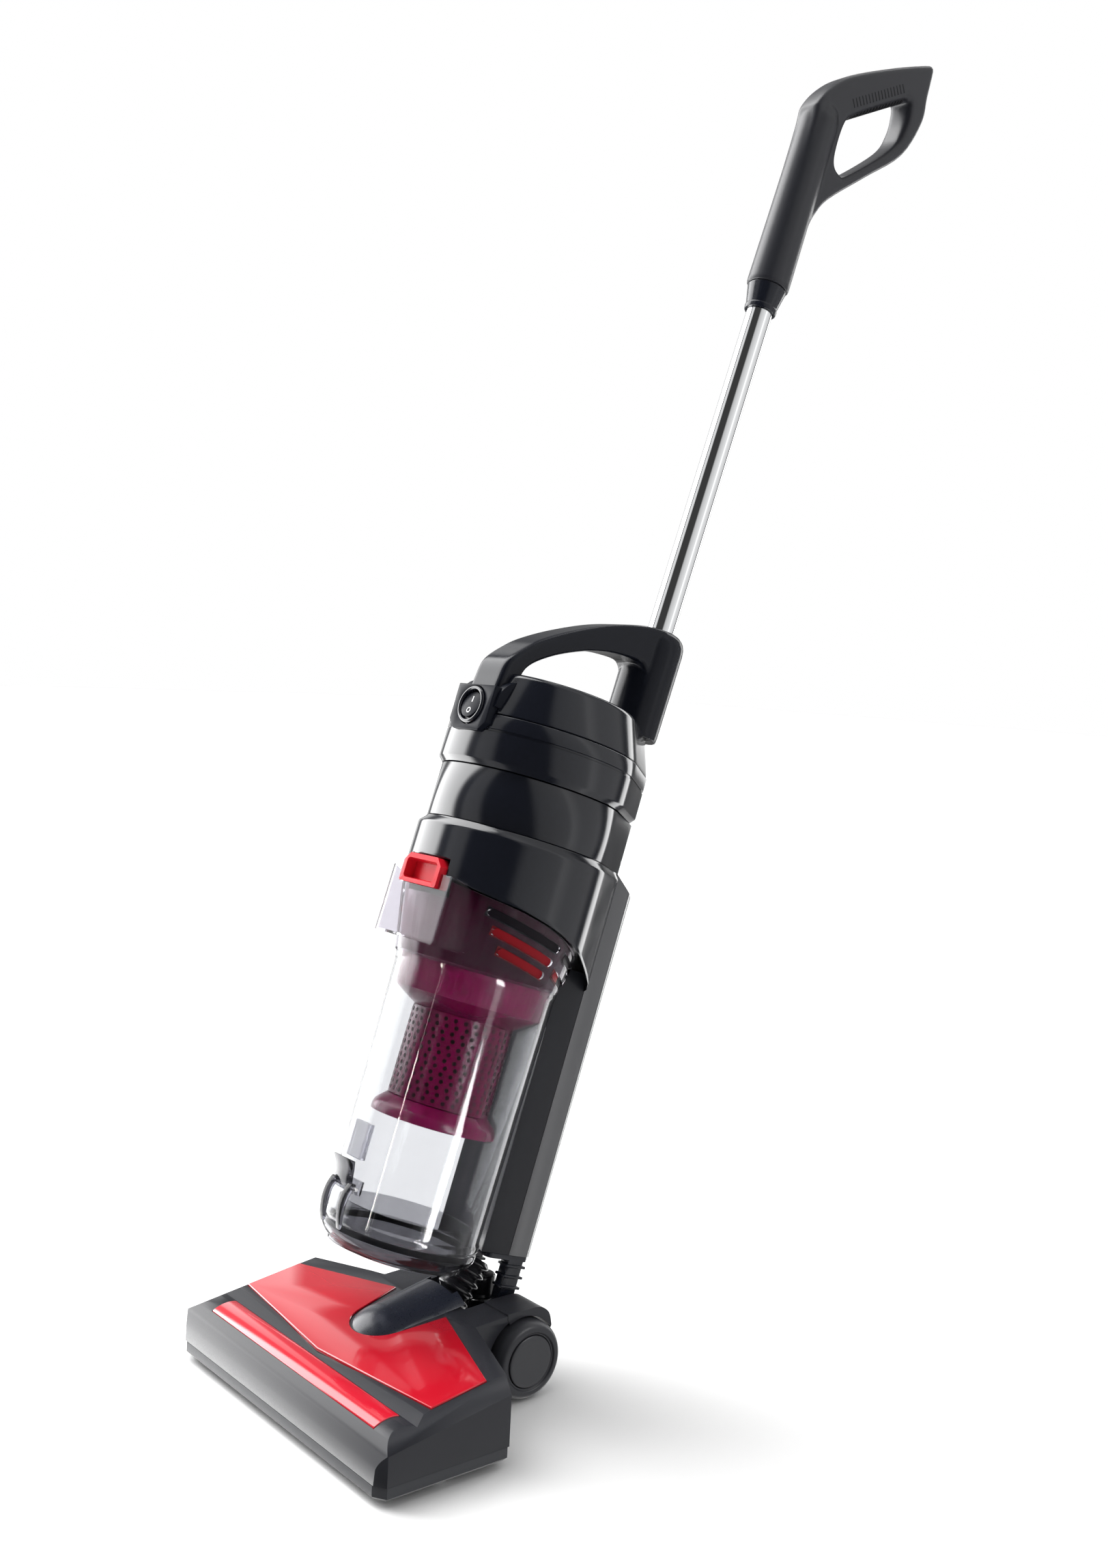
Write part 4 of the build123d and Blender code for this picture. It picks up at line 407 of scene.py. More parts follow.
def paints(colours):
    """All materials of the machine."""
    paint("shell_charcoal", colours.shell, 0.36, 0.06, 1400, 0.06, gloss=0.26)
    paint("grip_charcoal", [c * 1.3 for c in colours.shell], 0.34, 0.05, 1600, 0.06, gloss=0.34)
    paint("sole_grey", (0.034, 0.035, 0.039), 0.48, 0.07, 1500, 0.1, gloss=0.2)
    paint("panel_red", colours.accent, 0.12, 0.02, 60, 0.004, coat=0.6, coat_rough=0.03)
    paint("button_red", (0.5, 0.008, 0.018), 0.3, 0.03, 200, 0.01, gloss=0.1)
    paint("window_red", (0.5, 0.01, 0.024), 0.14, 0.02, 60, 0.004, coat=0.35, coat_rough=0.05)
    paint("neck_black", [c * 1.8 for c in colours.gloss], 0.3, 0.04, 900, 0.05, gloss=0.35)
    paint("housing_black", colours.gloss, 0.13, 0.02, 40, 0.0)
    paint("arch_black", colours.gloss, 0.2, 0.03, 200, 0.004, gloss=0.17)
    paint("switch_black", colours.gloss, 0.34, 0.04, 300, 0.02, gloss=0.07)
    paint("trim_black", [c * 1.3 for c in colours.gloss], 0.22, 0.04, 300, 0.02, gloss=0.35)
    paint("hose_black", (0.01, 0.01, 0.012), 0.17, 0.04, 900, 0.03)
    paint("spine_dark", (0.013, 0.0135, 0.017), 0.36, 0.06, 1200, 0.06, gloss=0.2)
    paint("spine_silver", (0.05, 0.051, 0.056), 0.22, 0.03, 500, 0.01, coat=0.6, coat_rough=0.06)
    paint("bin_clear", (0.75, 0.755, 0.77), 0.02, 0.015, 30, 0.0, 0.01, clear=1.0, ior=1.12,
          coat=0.12, coat_rough=0.02)
    paint("tab_clear", (0.42, 0.42, 0.45), 0.03, 0.015, 30, 0.003, 0.02, clear=1.0, ior=1.2)
    paint("collar_clear", (0.62, 0.605, 0.65), 0.04, 0.02, 30, 0.004, 0.02, clear=1.0, ior=1.15,
          coat=0.12, coat_rough=0.03)
    paint("smoke_clear", (0.43, 0.43, 0.45), 0.05, 0.02, 60, 0.002, 0.04, clear=1.0, ior=1.06,
          coat=0.2, coat_rough=0.03)
    paint("latch_smoke", (0.06, 0.06, 0.07), 0.05, 0.02, 60, 0.004, 0.04, clear=0.95, ior=1.25)
    paint("cyclone_wine", colours.cyclone, 0.2, 0.04, 120, 0.01, gloss=0.2)
    paint("shroud_wine", [c * 0.75 for c in colours.cyclone], 0.2, 0.04, 120, 0.01, gloss=0.15)
    # Near-black copy of the cyclone colour: painted shade inside the air holes
    paint("hole_shade_dark", [c * 0.08 for c in colours.cyclone], 0.4, 0.05, 300, 0.02, gloss=0.05)
    # Slot pads: the accent at half brightness, red seen through with painted shade; then near-black,
    # painted shade
    paint("slot_red_shaded", [c * 0.5 for c in colours.accent], 0.35, 0.05, 300, 0.02, gloss=0.1)
    paint("slot_shade_dark", (0.008, 0.006, 0.009), 0.45, 0.05, 300, 0.02, gloss=0.1)
    paint("tube_chrome", (0.82, 0.83, 0.84), 0.025, 0.01, 700, 0.0, 0.02, metal=1.0)
    paint("metal_steel", (0.55, 0.55, 0.56), 0.28, 0.08, 900, 0.05, 0.1, metal=1.0)
    paint("motor_metal", (0.5, 0.5, 0.52), 0.35, 0.08, 700, 0.06, 0.1, metal=1.0)
    paint("rubber_black", (0.012, 0.012, 0.014), 0.55, 0.08, 900, 0.15, gloss=0.2)
    paint("wheel_grey", (0.017, 0.0175, 0.021), 0.42, 0.06, 1200, 0.1, gloss=0.3)
    paint("hub_grey", (0.018, 0.0185, 0.022), 0.34, 0.06, 1200, 0.06, gloss=0.4)
    paint("bristle_dark", (0.03, 0.03, 0.032), 0.55, 0.1, 2500, 0.3)
    paint("filter_felt", (0.74, 0.73, 0.7), 0.9, 0.05, 1800, 0.6)
    paint("mark_white", (0.55, 0.55, 0.56), 0.4, 0.05, 600, 0.02)
    paint("floor_pale", (0.7, 0.7, 0.7), 0.6, 0.04, 12, 0.01, 0.01)


def lets_light_in(tree):
    """Let lamps shine through clear plastic onto what is inside."""
    path = added(tree, "LightPath")
    through = added(tree, "BsdfTransparent", Color=(0.9, 0.9, 0.9, 1.0))
    mix = added(tree, "MixShader")
    join(
        tree, (path, "Is Shadow Ray", mix, 0), (tree.nodes["Principled BSDF"], 0, mix, 1),
        (through, 0, mix, 2), (mix, 0, tree.nodes["Material Output"], "Surface"))


class VacuumOperator:
    """What the operators share: the shape values and the making of turned pieces."""

    bl_options = {"REGISTER", "UNDO"}

    @property
    def shape(self):
        return bpy.context.scene.vacuum_shape

    def turn(self, name, outline, axis, body, look, node, slot, sign=1.0):
        """Piece turned from an outline, in place of one CAD node."""
        piece(name, lathe(outline, axis, self.shape.segments, sign), body, look, [node])


class VACUUM_OT_looks(VacuumOperator, Operator):
    """Make the materials and give each carried-over CAD node its own."""

    bl_idname = "vacuum.looks"
    bl_label = "Materials"

    def execute(self, context):
        paints(context.scene.vacuum_look)
        by_node = {
            "metal_steel": "sole_screws roller_pins axle door_pin latch_pin body_screws",
            "motor_metal": "motor_can motor_stator fan brush_motor",
            "rubber_black": "glide_strip front_roller_right front_roller_left drive_belt motor_gasket",
            "sole_grey": "brush_bearings",
            "trim_black": "motor_pulley neck_duct",
            "bristle_dark": "brush_tufts",
            "spine_dark": "brush_core",
            "filter_felt": "filter_disc",
            "cyclone_wine": "inner_cone",
        }
        for look, names in by_node.items():
            for name in names.split():
                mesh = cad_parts[name].data
                mesh.materials.clear()
                mesh.materials.append(LOOKS[look])
        return {"FINISHED"}


class VACUUM_OT_head(VacuumOperator, Operator):
    """Shell, wheel arms, sole, red panel, window and neck of the floor head."""

    bl_idname = "vacuum.head"
    bl_label = "Floor head"

    # Arch over the wheels: radius, degrees from and to; then the arms from inside to outside
    arch_radius, arch_turn = 31.4, (34, 116)
    arm_span = (30.4, 60.3)
    arm_top = [(98, 62), (98, 66.2), (129, 66.2, 5), (138.5, 60, 6), (140.8, 48.5, 4), (139.6, 47)]

    def arms(self):
        """Rounded ends of the two wheel arms, arched over the wheels."""
        first, last = self.arch_turn
        arch = []
        for k in range(13):
            turn = radians(first + (last - first) * k / 12)
            y, z = self.arch_radius * cos(turn), self.arch_radius * sin(turn)
            arch.append((PIVOT_Y + y, PIVOT_Z + z))
        outline = soften(self.arm_top) + arch
        bm = bmesh.new()
        for sign in (1.0, -1.0):
            block(bm, outline, lambda y, z, x: Vector((x * sign, y, z)) * MM, *self.arm_span)
        round_edges(bm, 1.6, 40.0, 3)
        return bm

    def execute(self, context):
        edge = self.shape.edge
        shell = copied("top_shell", edge, wanted=lambda m: m.y < 98 or abs(m.x) > 62)
        piece("head_shell", shell, "head", "shell_charcoal", ["top_shell"])
        piece("head_arms", self.arms(), "head", "shell_charcoal")
        dress("head_sole", "sole_plate", edge * 0.6, "head", "sole_grey")
        dress("head_panel", "red_panel", edge * 0.8, "head", "panel_red")
        dress("head_window", "brush_window", edge * 0.6, "head", "window_red")
        dress("head_neck", "neck_cover", edge * 0.8, "head", "neck_black")
        return {"FINISHED"}


class VACUUM_OT_wheels(VacuumOperator, Operator):
    """Rear wheels with stepped faces and hub caps."""

    bl_idname = "vacuum.wheels"
    bl_label = "Wheels"

    tyre = [
        (5, 48.2), (19, 48.2, 1), (20.5, 47.1, 1), (26, 47.1, 2), (29.7, 50.5, 2.5), (29.7, 65.5, 3),
        (26.5, 70.3, 2.5), (22.4, 70.6, 0.8), (21.4, 69.2, 0.4), (20.3, 69.2, 0.4), (20.3, 66),
        (5, 66),
    ]
    cap = [
        (0, 66.4), (19.8, 66.4, 0.4), (19.8, 70, 1), (17, 70.6, 1.2), (9, 70.1, 3), (0, 69.9),
    ]

    def execute(self, context):
        for side, sign in (("right", 1.0), ("left", -1.0)):
            for name, outline, look, node, slot in (
                    ("tyre_", self.tyre, "wheel_grey", "wheel_", "wheel_grey"),
                    ("hub_", self.cap, "hub_grey", "hub_cap_", "charcoal_plastic")):
                self.turn(name + side, outline, AXLE_AXIS, side + "_wheel", look, node + side, slot, sign)
        return {"FINISHED"}


class VACUUM_OT_link(VacuumOperator, Operator):
    """Ribbed yoke, corrugated hose, the sleeve behind it and the two halves of the spine."""

    bl_idname = "vacuum.link"
    bl_label = "Yoke, hose and spine"

    hose_low = Vector((0.0, 87.0, 57.5)) * MM
    hose_top = body_point(0, -22, 55)
    hose_radius, fold_depth, hose_wall = 12.4, 3.0, 1.4
    folds = 5
    sleeve_axis = (Vector((0.0, 118.0, 0.0)) * MM, Vector((0.0, 0.0, 1.0)), SIDE)
    sleeve = [
        (0, 36), (11, 36), (11, 44, 0.8), (12.2, 45, 0.5), (12.2, 47, 0.5), (11, 48, 0.8),
        (11, 56, 0.8), (12.2, 57, 0.5), (12.2, 59, 0.5), (11, 60, 0.8), (11, 74, 2), (0, 74),
    ]

    def hose(self):
        """Corrugated tube between the neck and the yoke."""
        run = self.hose_top - self.hose_low
        length = run.length / MM
        count = self.folds * 12
        outline = []
        for i in range(count + 1):
            wave = 0.5 - 0.5 * cos(tau * self.folds * i / count)
            outline.append((self.hose_radius + self.fold_depth * wave ** 0.7, length * i / count))
        outline += [(r - self.hose_wall, h) for r, h in reversed(outline)]
        bm = bmesh.new()
        turned(bm, outline, (self.hose_low, run.normalized(), SIDE), 64)
        return bm

    def execute(self, context):
        edge = self.shape.edge
        piece("hose_boot", lathe(self.sleeve, self.sleeve_axis, 48), "head", "hose_black")
        piece("hose_corrugated", self.hose(), "head", "hose_black", ["hose"], 60)
        dress("yoke_ribbed", "yoke", edge * 0.5, "main_body", "trim_black")
        dress("spine_channel", "spine_front", edge * 0.6, "main_body", "spine_dark")
        dress("spine_cover", "spine_rear", edge, "main_body", "spine_silver")
        return {"FINISHED"}


class VACUUM_OT_bin(VacuumOperator, Operator):
    """Clear bin, its tab, smoked door, seal, latch, slotted collar with pads of painted shade, spring and
    button.
    """

    bl_idname = "vacuum.bin"
    bl_label = "Dust bin"

    wall = [
        (56.4, 66, 0.4), (58.6, 66, 0.6), (60, 68.5, 0.8), (60, 71.5, 0.8), (59, 73.5, 0.6), (62.3, 259),
        (63.4, 262, 0.8), (63.4, 268, 0.8), (60.4, 268, 0.4),
    ]
    door = [
        (0, 46), (34, 46, 6), (46, 48.6, 4), (55.2, 54.5, 4), (59.2, 60, 2), (59.2, 65.6, 0.6),
        (56.8, 65.6, 0.6), (56.8, 60.6, 1), (53.2, 56.4, 2), (45, 51, 3), (34, 48.3, 5), (0, 48.3),
    ]
    sleeve = [(49.7, 50), (51.5, 50), (51.5, 82, 0.6), (49.7, 82, 0.6)]
    seal = [(53.4, 60.6, 0.8), (56.3, 60.6, 0.8), (56.3, 65.4, 1.2), (53.4, 65.4, 1.2)]
    claw = [
        (-164.6, 97, 1), (-167.6, 90, 5), (-168.4, 80, 5), (-166.2, 70, 3), (-163.2, 63.5, 0.6),
        (-162.2, 66.5, 0.6), (-163.4, 72, 3), (-164.4, 80, 5), (-163.8, 88, 4), (-161.4, 92.5, 1),
        (-160.4, 97, 1),
    ]
    tab = [
        (93, -161.8, 8.9, 1.2), (99, -163, 9.4, 1.1), (106, -165, 11, 0.95), (113, -167.8, 13.2, 0.7),
    ]
    slots = [
        (-48, 311, 15, 298), (-41.5, 298.5, 12, 287), (-33.6, 285.6, 8.5, 276.5), (23.3, 295, 49, 284.5),
        (18.4, 281, 42, 271.5),
    ]
    slot_half = 3.0
    # Collar: degrees and columns to each side, rows, rows below the pod, wall, gap to the housing
    collar_reach, collar_half, collar_rows, foot_rows = 151, 75, 26, 6
    collar_wall, collar_gap = 2.0, 0.6
    # Rise of the lower edge towards the back
    foot_radius, rise_from, rise_slope = 66.0, 36.5, 1.18
    # Pod: a height inside it, the step at its foot, its reach in radians, its corners, its blend
    pod_middle, pod_step, pod_turn = 300.0, 0.2, 1.5
    corner_cut, corner_reach, blend = 2.2, 8.0, 7.0
    # Button's notch; a close pair of columns stands at each of its sides
    notch_half, notch_low = 23.4, 315.6
    pair_gap, pair_clear = 0.001, 0.012
    claw_span = (8.8, 13.2)
    tab_bow = 0.6
    # Clear tab and latch bracket: half width, low, high, front
    ribs = ((9.5, 114, 140, -161.2), (16.4, 90, 100, -159.3))
    rib_back, rib_round = -156.5, 1.6
    pressed_share = 0.6
    pad_half, pad_inset, pad_wall = 3.6, 2.3, 0.3
    # What shows behind each slot, as painted shade (near-black, or the red seen through at half
    # brightness): which slot, and the share of its length from and to
    pads = (
        ("slot_pads_dark", "slot_shade_dark", "black_gloss", ((0, 0, 1), (3, 0, 1), (4, 0.5, 1))),
        ("slot_pads_red", "slot_red_shaded", "red_gloss", ((1, 0, 1), (2, 0, 1), (4, 0, 0.5))),
    )

    def slot_pads(self, spans):
        """Thin curved pads just inside the collar, one behind each slot on both flanks; their colours paint
        the shade seen through the slots.
        """
        bm = bmesh.new()
        for index, first, last in spans:
            b0, h0, b1, h1 = self.slots[index]
            for sign in (1.0, -1.0):
                made = bmesh.ops.create_grid(bm, x_segments=14, y_segments=2, size=1.0)["verts"]
                for v in made:
                    t = first + (last - first) * (v.co.x + 1) / 2
                    b, h = b0 + (b1 - b0) * t, h0 + (h1 - h0) * t + v.co.y * self.pad_half
                    r = self.cone_radius(h) - self.pad_inset
                    v.co = body_point(sign * sqrt(r * r - b * b), BIN_B + b, h)
                faces = list(dict.fromkeys(f for v in made for f in v.link_faces))
                bmesh.ops.recalc_face_normals(bm, faces=faces)
                if faces[0].normal.x * sign < 0:
                    bmesh.ops.reverse_faces(bm, faces=faces)
                bmesh.ops.solidify(bm, geom=faces, thickness=self.pad_wall * MM)
        return bm

    def latch(self):
        """Two bowed claws joined by a flared thumb tab."""
        bm = bmesh.new()
        outline = soften(self.claw)
        for sign in (1.0, -1.0):
            block(bm, outline, lambda b, h, x: body_point(x * sign, b, h), *self.claw_span)
        rings = []
        for h, b, half, thick in self.tab:
            front = [(-half, -thick), (0, -thick - self.tab_bow), (half, -thick)]
            back = [(half, thick), (0, thick - self.tab_bow), (-half, thick)]
            rings.append([body_point(x, b + d, h) for x, d in front + back])
        bridged(bm, rings)
        round_edges(bm, 0.4, 40.0, 2)
        return bm

    def front_rib(self):
        """Raised clear tab and latch bracket on the bin's front."""
        bm = bmesh.new()
        back, edge = self.rib_back, self.rib_round
        for half, low, high, front in self.ribs:
            outline = [(-half, back), (half, back), (half, front, edge), (-half, front, edge)]
            block(bm, soften(outline), body_point, low, high)
        return bm

    def spring(self):
        """Spring behind the button, at the length it has while the button is pressed."""
        bm = copied("button_spring", 0.2)
        rear = max((v.co for v in bm.verts), key=BACK.dot).copy()
        space = Matrix((SIDE, BACK, UP)).to_4x4() @ Matrix.Translation(-rear)
        bmesh.ops.scale(bm, vec=(1.0, self.pressed_share, 1.0), space=space, verts=bm.verts[:])
        return bm

    def cone_radius(self, h):
        """Radius of the collar's cone at a height."""
        return COLLAR_R + COLLAR_SLOPE * (h - COLLAR_LOW)

    def collar_radius(self, turn, h):
        """Radius of the collar's skin: a cone that sweeps out into the front pod."""
        cone = self.cone_radius(h)
        if h < POD_LOW or cos(turn) < 0.05:
            return cone
        front = POD_FRONT / cos(turn)
        flank = POD_HALF / max(abs(sin(turn)), 0.02)
        corner = max(0.0, 1.0 - abs(front - flank) / self.corner_reach)
        pod = min(front, flank) - self.corner_cut * corner ** 2
        ease = max(self.blend - abs(pod - cone), 0.0)
        return max(pod, cone) + ease * ease / (4 * self.blend)

    def collar(self):
        """Clear collar: a grid wrapped round the cone and the pod, given its wall, then slotted."""
        notch = atan2(self.notch_half, POD_FRONT)
        half = self.collar_half
        turns = [radians(self.collar_reach) * (k / half - 1) for k in range(2 * half + 1)]
        turns = [t for t in turns if abs(abs(t) - notch) > self.pair_clear]
        turns += [side * (notch + d * self.pair_gap) for side in (1, -1) for d in (-1, 1)]
        turns.sort()
        rows, foot = self.collar_rows, self.foot_rows
        bm = bmesh.new()
        bmesh.ops.create_grid(bm, x_segments=len(turns) - 1, y_segments=rows - 1, size=1.0)
        for v in bm.verts:
            turn = turns[round((v.co.x + 1) / 2 * (len(turns) - 1))]
            row = round((v.co.y + 1) / 2 * (rows - 1))
            r = self.collar_radius(turn, self.pod_middle)
            top = sweep_height(BIN_B - r * cos(turn)) - self.collar_gap
            if abs(turn) < notch:
                top = self.notch_low
            behind = -self.foot_radius * cos(turn) - self.rise_from
            low = COLLAR_LOW + max(0.0, behind * self.rise_slope)
            pod_low = max(POD_LOW + self.pod_step, low + 2.0)
            if abs(turn) > self.pod_turn:
                h = low + (top - low) * row / (rows - 1)
            elif row < foot:
                h = low + (POD_LOW - self.pod_step - low) * row / (foot - 1)
            else:
                h = pod_low + (top - pod_low) * (row - foot) / (rows - foot - 1)
            h = min(max(h, low), top)
            r = self.collar_radius(turn, h)
            v.co = body_point(r * sin(turn), BIN_B - r * cos(turn), h)
        outward(bm)
        middle = body_point(0, BIN_B, 290)
        if sum(f.normal.dot(f.calc_center_median() - middle) for f in bm.faces) < 0:
            bmesh.ops.reverse_faces(bm, faces=bm.faces[:])
        bmesh.ops.solidify(bm, geom=bm.faces[:], thickness=self.collar_wall * MM)
        return slotted(bm, self.slots, self.slot_half)

    def execute(self, context):
        self.turn("bin_shell", self.wall, BIN_AXIS, "dust_bin", "bin_clear", "bin_wall", "clear")
        piece("bin_tab", self.front_rib(), "dust_bin", "tab_clear")
        for name, look, slot, spans in self.pads:
            piece(name, self.slot_pads(spans), "dust_bin", look)
        dish = lathe(self.door, BIN_AXIS, self.shape.segments)
        turned(dish, soften(self.sleeve), BIN_AXIS, self.shape.segments)
        piece("bin_dish", dish, "dust_door", "smoke_clear", ["bin_door"])
        self.turn("bin_seal", self.seal, BIN_AXIS, "dust_door", "rubber_black", "door_seal", "rubber")
        piece("bin_latch", self.latch(), "dust_latch", "latch_smoke", ["door_latch"])
        piece("bin_slotted_collar", self.collar(), "dust_bin", "collar_clear", ["bin_collar"])
        piece("button_coil", self.spring(), "dust_bin", "metal_steel", ["button_spring"])
        dress("bin_button_cup", "release_button", 0.6, "bin_button", "button_red")
        return {"FINISHED"}


class VACUUM_OT_cyclone(VacuumOperator, Operator):
    """Cyclone cup, shroud with discs of painted shade for its air holes, and skirt."""

    bl_idname = "vacuum.cyclone"
    bl_label = "Cyclone"

    # Hole discs, painted dark as the shade in the air holes: heights from and to, radius, depth, distance
    # from the bin's axis
    hole_span = (168, 228)
    hole_radius, hole_depth, hole_at = 1.7, 0.8, 38.7
    shroud = [(37.4, 164), (39, 164, 0.4), (39, 231.6, 0.4), (37.4, 231.6)]
    skirt = [
        (27, 159.4), (38, 159.4, 2), (44.8, 155, 3), (46.2, 149, 0.5), (48, 149, 0.5), (48, 152, 1),
        (47, 156, 2), (39, 163.6, 1), (27, 163.6),
    ]

    def holes(self):
        """Discs painted dark as the shade inside the air holes, set in the shroud's skin."""
        columns, rows = self.shape.hole_columns, self.shape.hole_rows
        low, high = self.hole_span
        radius = self.hole_radius * MM
        bm = bmesh.new()
        for row in range(rows):
            h = low + (high - low) * row / (rows - 1)
            for column in range(columns):
                turn = tau * (column + 0.25 * (row % 2)) / columns
                away = SIDE * sin(turn) - BACK * cos(turn)
                across = UP.cross(away)
                at = body_point(0, BIN_B, h) + away * self.hole_at * MM
                place = Matrix((across, UP, away)).transposed().to_4x4()
                bmesh.ops.create_cone(
                    bm, cap_ends=True, segments=8, radius1=radius, radius2=radius,
                    depth=self.hole_depth * MM, matrix=Matrix.Translation(at) @ place)
        return bm

    def execute(self, context):
        dress("cyclone_bowl", "cyclone_cup", 0.4, "dust_bin", "cyclone_wine")
        self.turn("cyclone_shroud", self.shroud, BIN_AXIS, "dust_bin", "shroud_wine", "shroud", "burgundy")
        piece("cyclone_holes", self.holes(), "dust_bin", "hole_shade_dark")
        self.turn(
            "cyclone_skirt", self.skirt, BIN_AXIS, "dust_bin", "cyclone_wine", "shroud_skirt", "burgundy")
        return {"FINISHED"}


def hull_outline(front_r, rear_r, rear_b, extra=()):
    """Racetrack outline seen from above, as (x, b) points from the front round by the right side."""
    tangent = acos((front_r - rear_r) / (rear_b - BIN_B))
    reach = pi - tangent
    turns = [reach * k / 44 for k in range(45)]
    turns = sorted(turns + [asin(x / front_r) for x in extra])
    half = [(front_r * sin(t), BIN_B - front_r * cos(t)) for t in turns]
    start = Vector(half[-1])
    end = Vector((rear_r * sin(tangent), rear_b + rear_r * cos(tangent)))
    half += [tuple(start.lerp(end, k / 6)) for k in range(1, 6)]
    turns = [tangent * (1 - k / 16) for k in range(17)]
    half += [(rear_r * sin(t), rear_b + rear_r * cos(t)) for t in turns]
    return half + [(-x, b) for x, b in reversed(half[1:-1])]


def tier(steps, front_r, rear_r, rear_b, caps=(False, False)):
    """Racetrack wall through (inset, height) steps."""
    rings = []
    for inset, h in steps:
        outline = hull_outline(front_r - inset, rear_r - inset, rear_b)
        rings.append([body_point(x, b, h) for x, b in outline])
    bm = bmesh.new()
    bridged(bm, rings, caps)
    return bm


class VACUUM_OT_housing(VacuumOperator, Operator):
    """Four glossy tiers of the motor housing and the block at the carry handle's root."""

    bl_idname = "vacuum.housing"
    bl_label = "Motor housing"

    notch, notch_top = 23.8, 338.8
    flat_back = -13.4
    # Lowest tier: front and rear radius and rear centre, rim as (inset, lift), shoulder as (inset, height)
    plan = (75.5, 30, -17)
    rim = ((2.6, 6), (2.6, 0.6), (2.2, 0), (0.6, 0), (0, 0.8), (0, 2.4))
    wall_lift, wall_top = 2.4, 364.0
    shoulder = ((0.5, 365.2), (4.3, 369), (4.9, 370), (8, 370))
    band = ((4, 370.4), (0.6, 370.4), (0, 371), (0, 411.4), (0.6, 412), (4, 412))
    cap = (
        (7, 412.6), (3.6, 412.6), (3.2, 413.2), (0.5, 416.2), (0, 417.2), (0, 438), (0.8, 438.4),
        (0.8, 439.8), (0, 440.2), (0, 450.4), (0.6, 451), (5, 451),
    )
    deck = (
        (4, 451.6), (0.5, 451.6), (0, 452.2), (0.4, 454.4), (9.4, 482.4), (10.4, 484.8), (12.4, 486),
        (20, 486.2),
    )
    root = [
        (-172.4, 456), (-171.4, 468, 4), (-163, 478, 6), (-128, 486.6, 1.5), (-120, 484),
        (-120, 456),
    ]
    root_half = 25.0

    def ring(self, plan, inset, heights):
        """One closed outline of the lowest tier, drawn in from the plan."""
        points = []
        for (x, b), h in zip(plan, heights):
            away = Vector((x, b - max(min(b, self.plan[2]), BIN_B))).normalized() * inset
            points.append(body_point(x - away.x, min(b - away.y, self.flat_back), h))
        return points

    def lower(self):
        """Lowest tier, with its swept lower edge and the button's notch."""
        plan = hull_outline(*self.plan, (self.notch - 0.02, self.notch + 0.02))
        edge = []
        for x, b in plan:
            inside = abs(x) < self.notch and b < BIN_B
            edge.append(self.notch_top if inside else sweep_height(b))
        rings = []
        for inset, lift in self.rim:
            rings.append(self.ring(plan, inset, [low + lift for low in edge]))
        lift, top = self.wall_lift, self.wall_top
        for share in (0.5, 0.96, 1.0):
            rings.append(self.ring(plan, 0.0, [low + lift + (top - low - lift) * share for low in edge]))
        for inset, h in self.shoulder:
            rings.append(self.ring(plan, inset, [h] * len(plan)))
        bm = bmesh.new()
        bridged(bm, rings, (False, False))
        return bm

    def execute(self, context):
        for name, bm, node in (
                ("housing_skirt", self.lower(), "housing_lower"),
                ("housing_band", tier(self.band, 70.6, 22.0, -16.5), "housing_waist"),
                ("housing_cap", tier(self.cap, 74.6, 26.0, -20.0), "cap_ring"),
                ("housing_deck", tier(self.deck, 73.6, 25.0, -20.0, (False, True)), "deck_cap")):
            piece(name, bm, "main_body", "housing_black", [node], 50)
        bm = bmesh.new()
        block(bm, soften(self.root), lambda b, h, x: body_point(x, b, h), -self.root_half, self.root_half)
        round_edges(bm, 1.5, 40.0, 3)
        piece("housing_root", bm, "main_body", "switch_black")
        return {"FINISHED"}


class VACUUM_OT_switch(VacuumOperator, Operator):
    """Switch pod, round bezel and marked rocker."""

    bl_idname = "vacuum.switch"
    bl_label = "Power switch"

    bezel = [
        (11.5, -176.4, 0.6), (12.2, -177.6, 0.6), (13.6, -177.6, 0.8), (14.5, -176.4, 0.6),
        (14.5, -169.8), (11.5, -169.8),
    ]
    # Rocker's face, then the marks on it
    face_b, tilt = -176.2, 0.143
    bar = [(-0.5, 1.9), (0.5, 1.9), (0.5, 6.6), (-0.5, 6.6)]
    ring_radii, ring_h = (1.5, 2.3), -4.6
    rise, sunk = 0.16, 0.4

    def on_face(self, x, h, d):
        """A point on the tilted face of the rocker."""
        return body_point(x, self.face_b + self.tilt * h + d, SWITCH_H + h)

    def marks(self):
        """Raised I and O on the rocker."""
        bm = bmesh.new()
        block(bm, self.bar, self.on_face, -self.rise, self.sunk)
        up = (self.on_face(0, 1, 0) - self.on_face(0, 0, 0)).normalized()
        inner, outer = self.ring_radii
        ring = [(inner, -self.sunk), (inner, self.rise), (outer, self.rise), (outer, -self.sunk)]
        turned(bm, ring, (self.on_face(0, self.ring_h, 0), SIDE.cross(up).normalized(), up), 32)
        return bm

    def execute(self, context):
        dress("switch_pod", "switch_plate", 0.7, "main_body", "switch_black")
        self.turn(
            "switch_ring", self.bezel, SWITCH_AXIS, "main_body", "housing_black", "switch_bezel",
            "black_gloss")
        dress("switch_rocker", "rocker", 0.4, "power_rocker", "switch_black")
        piece("switch_marks", self.marks(), "power_rocker", "mark_white")
        return {"FINISHED"}


def shifted(line, distance):
    """A closed line moved sideways, to its left for positive distances."""
    count = len(line)
    out = []
    for i, p in enumerate(line):
        along = Vector(line[(i + 1) % count]) - Vector(line[i - 1])
        side = Vector((-along.y, along.x)).normalized()
        out.append(Vector(p) + side * distance)
    return out


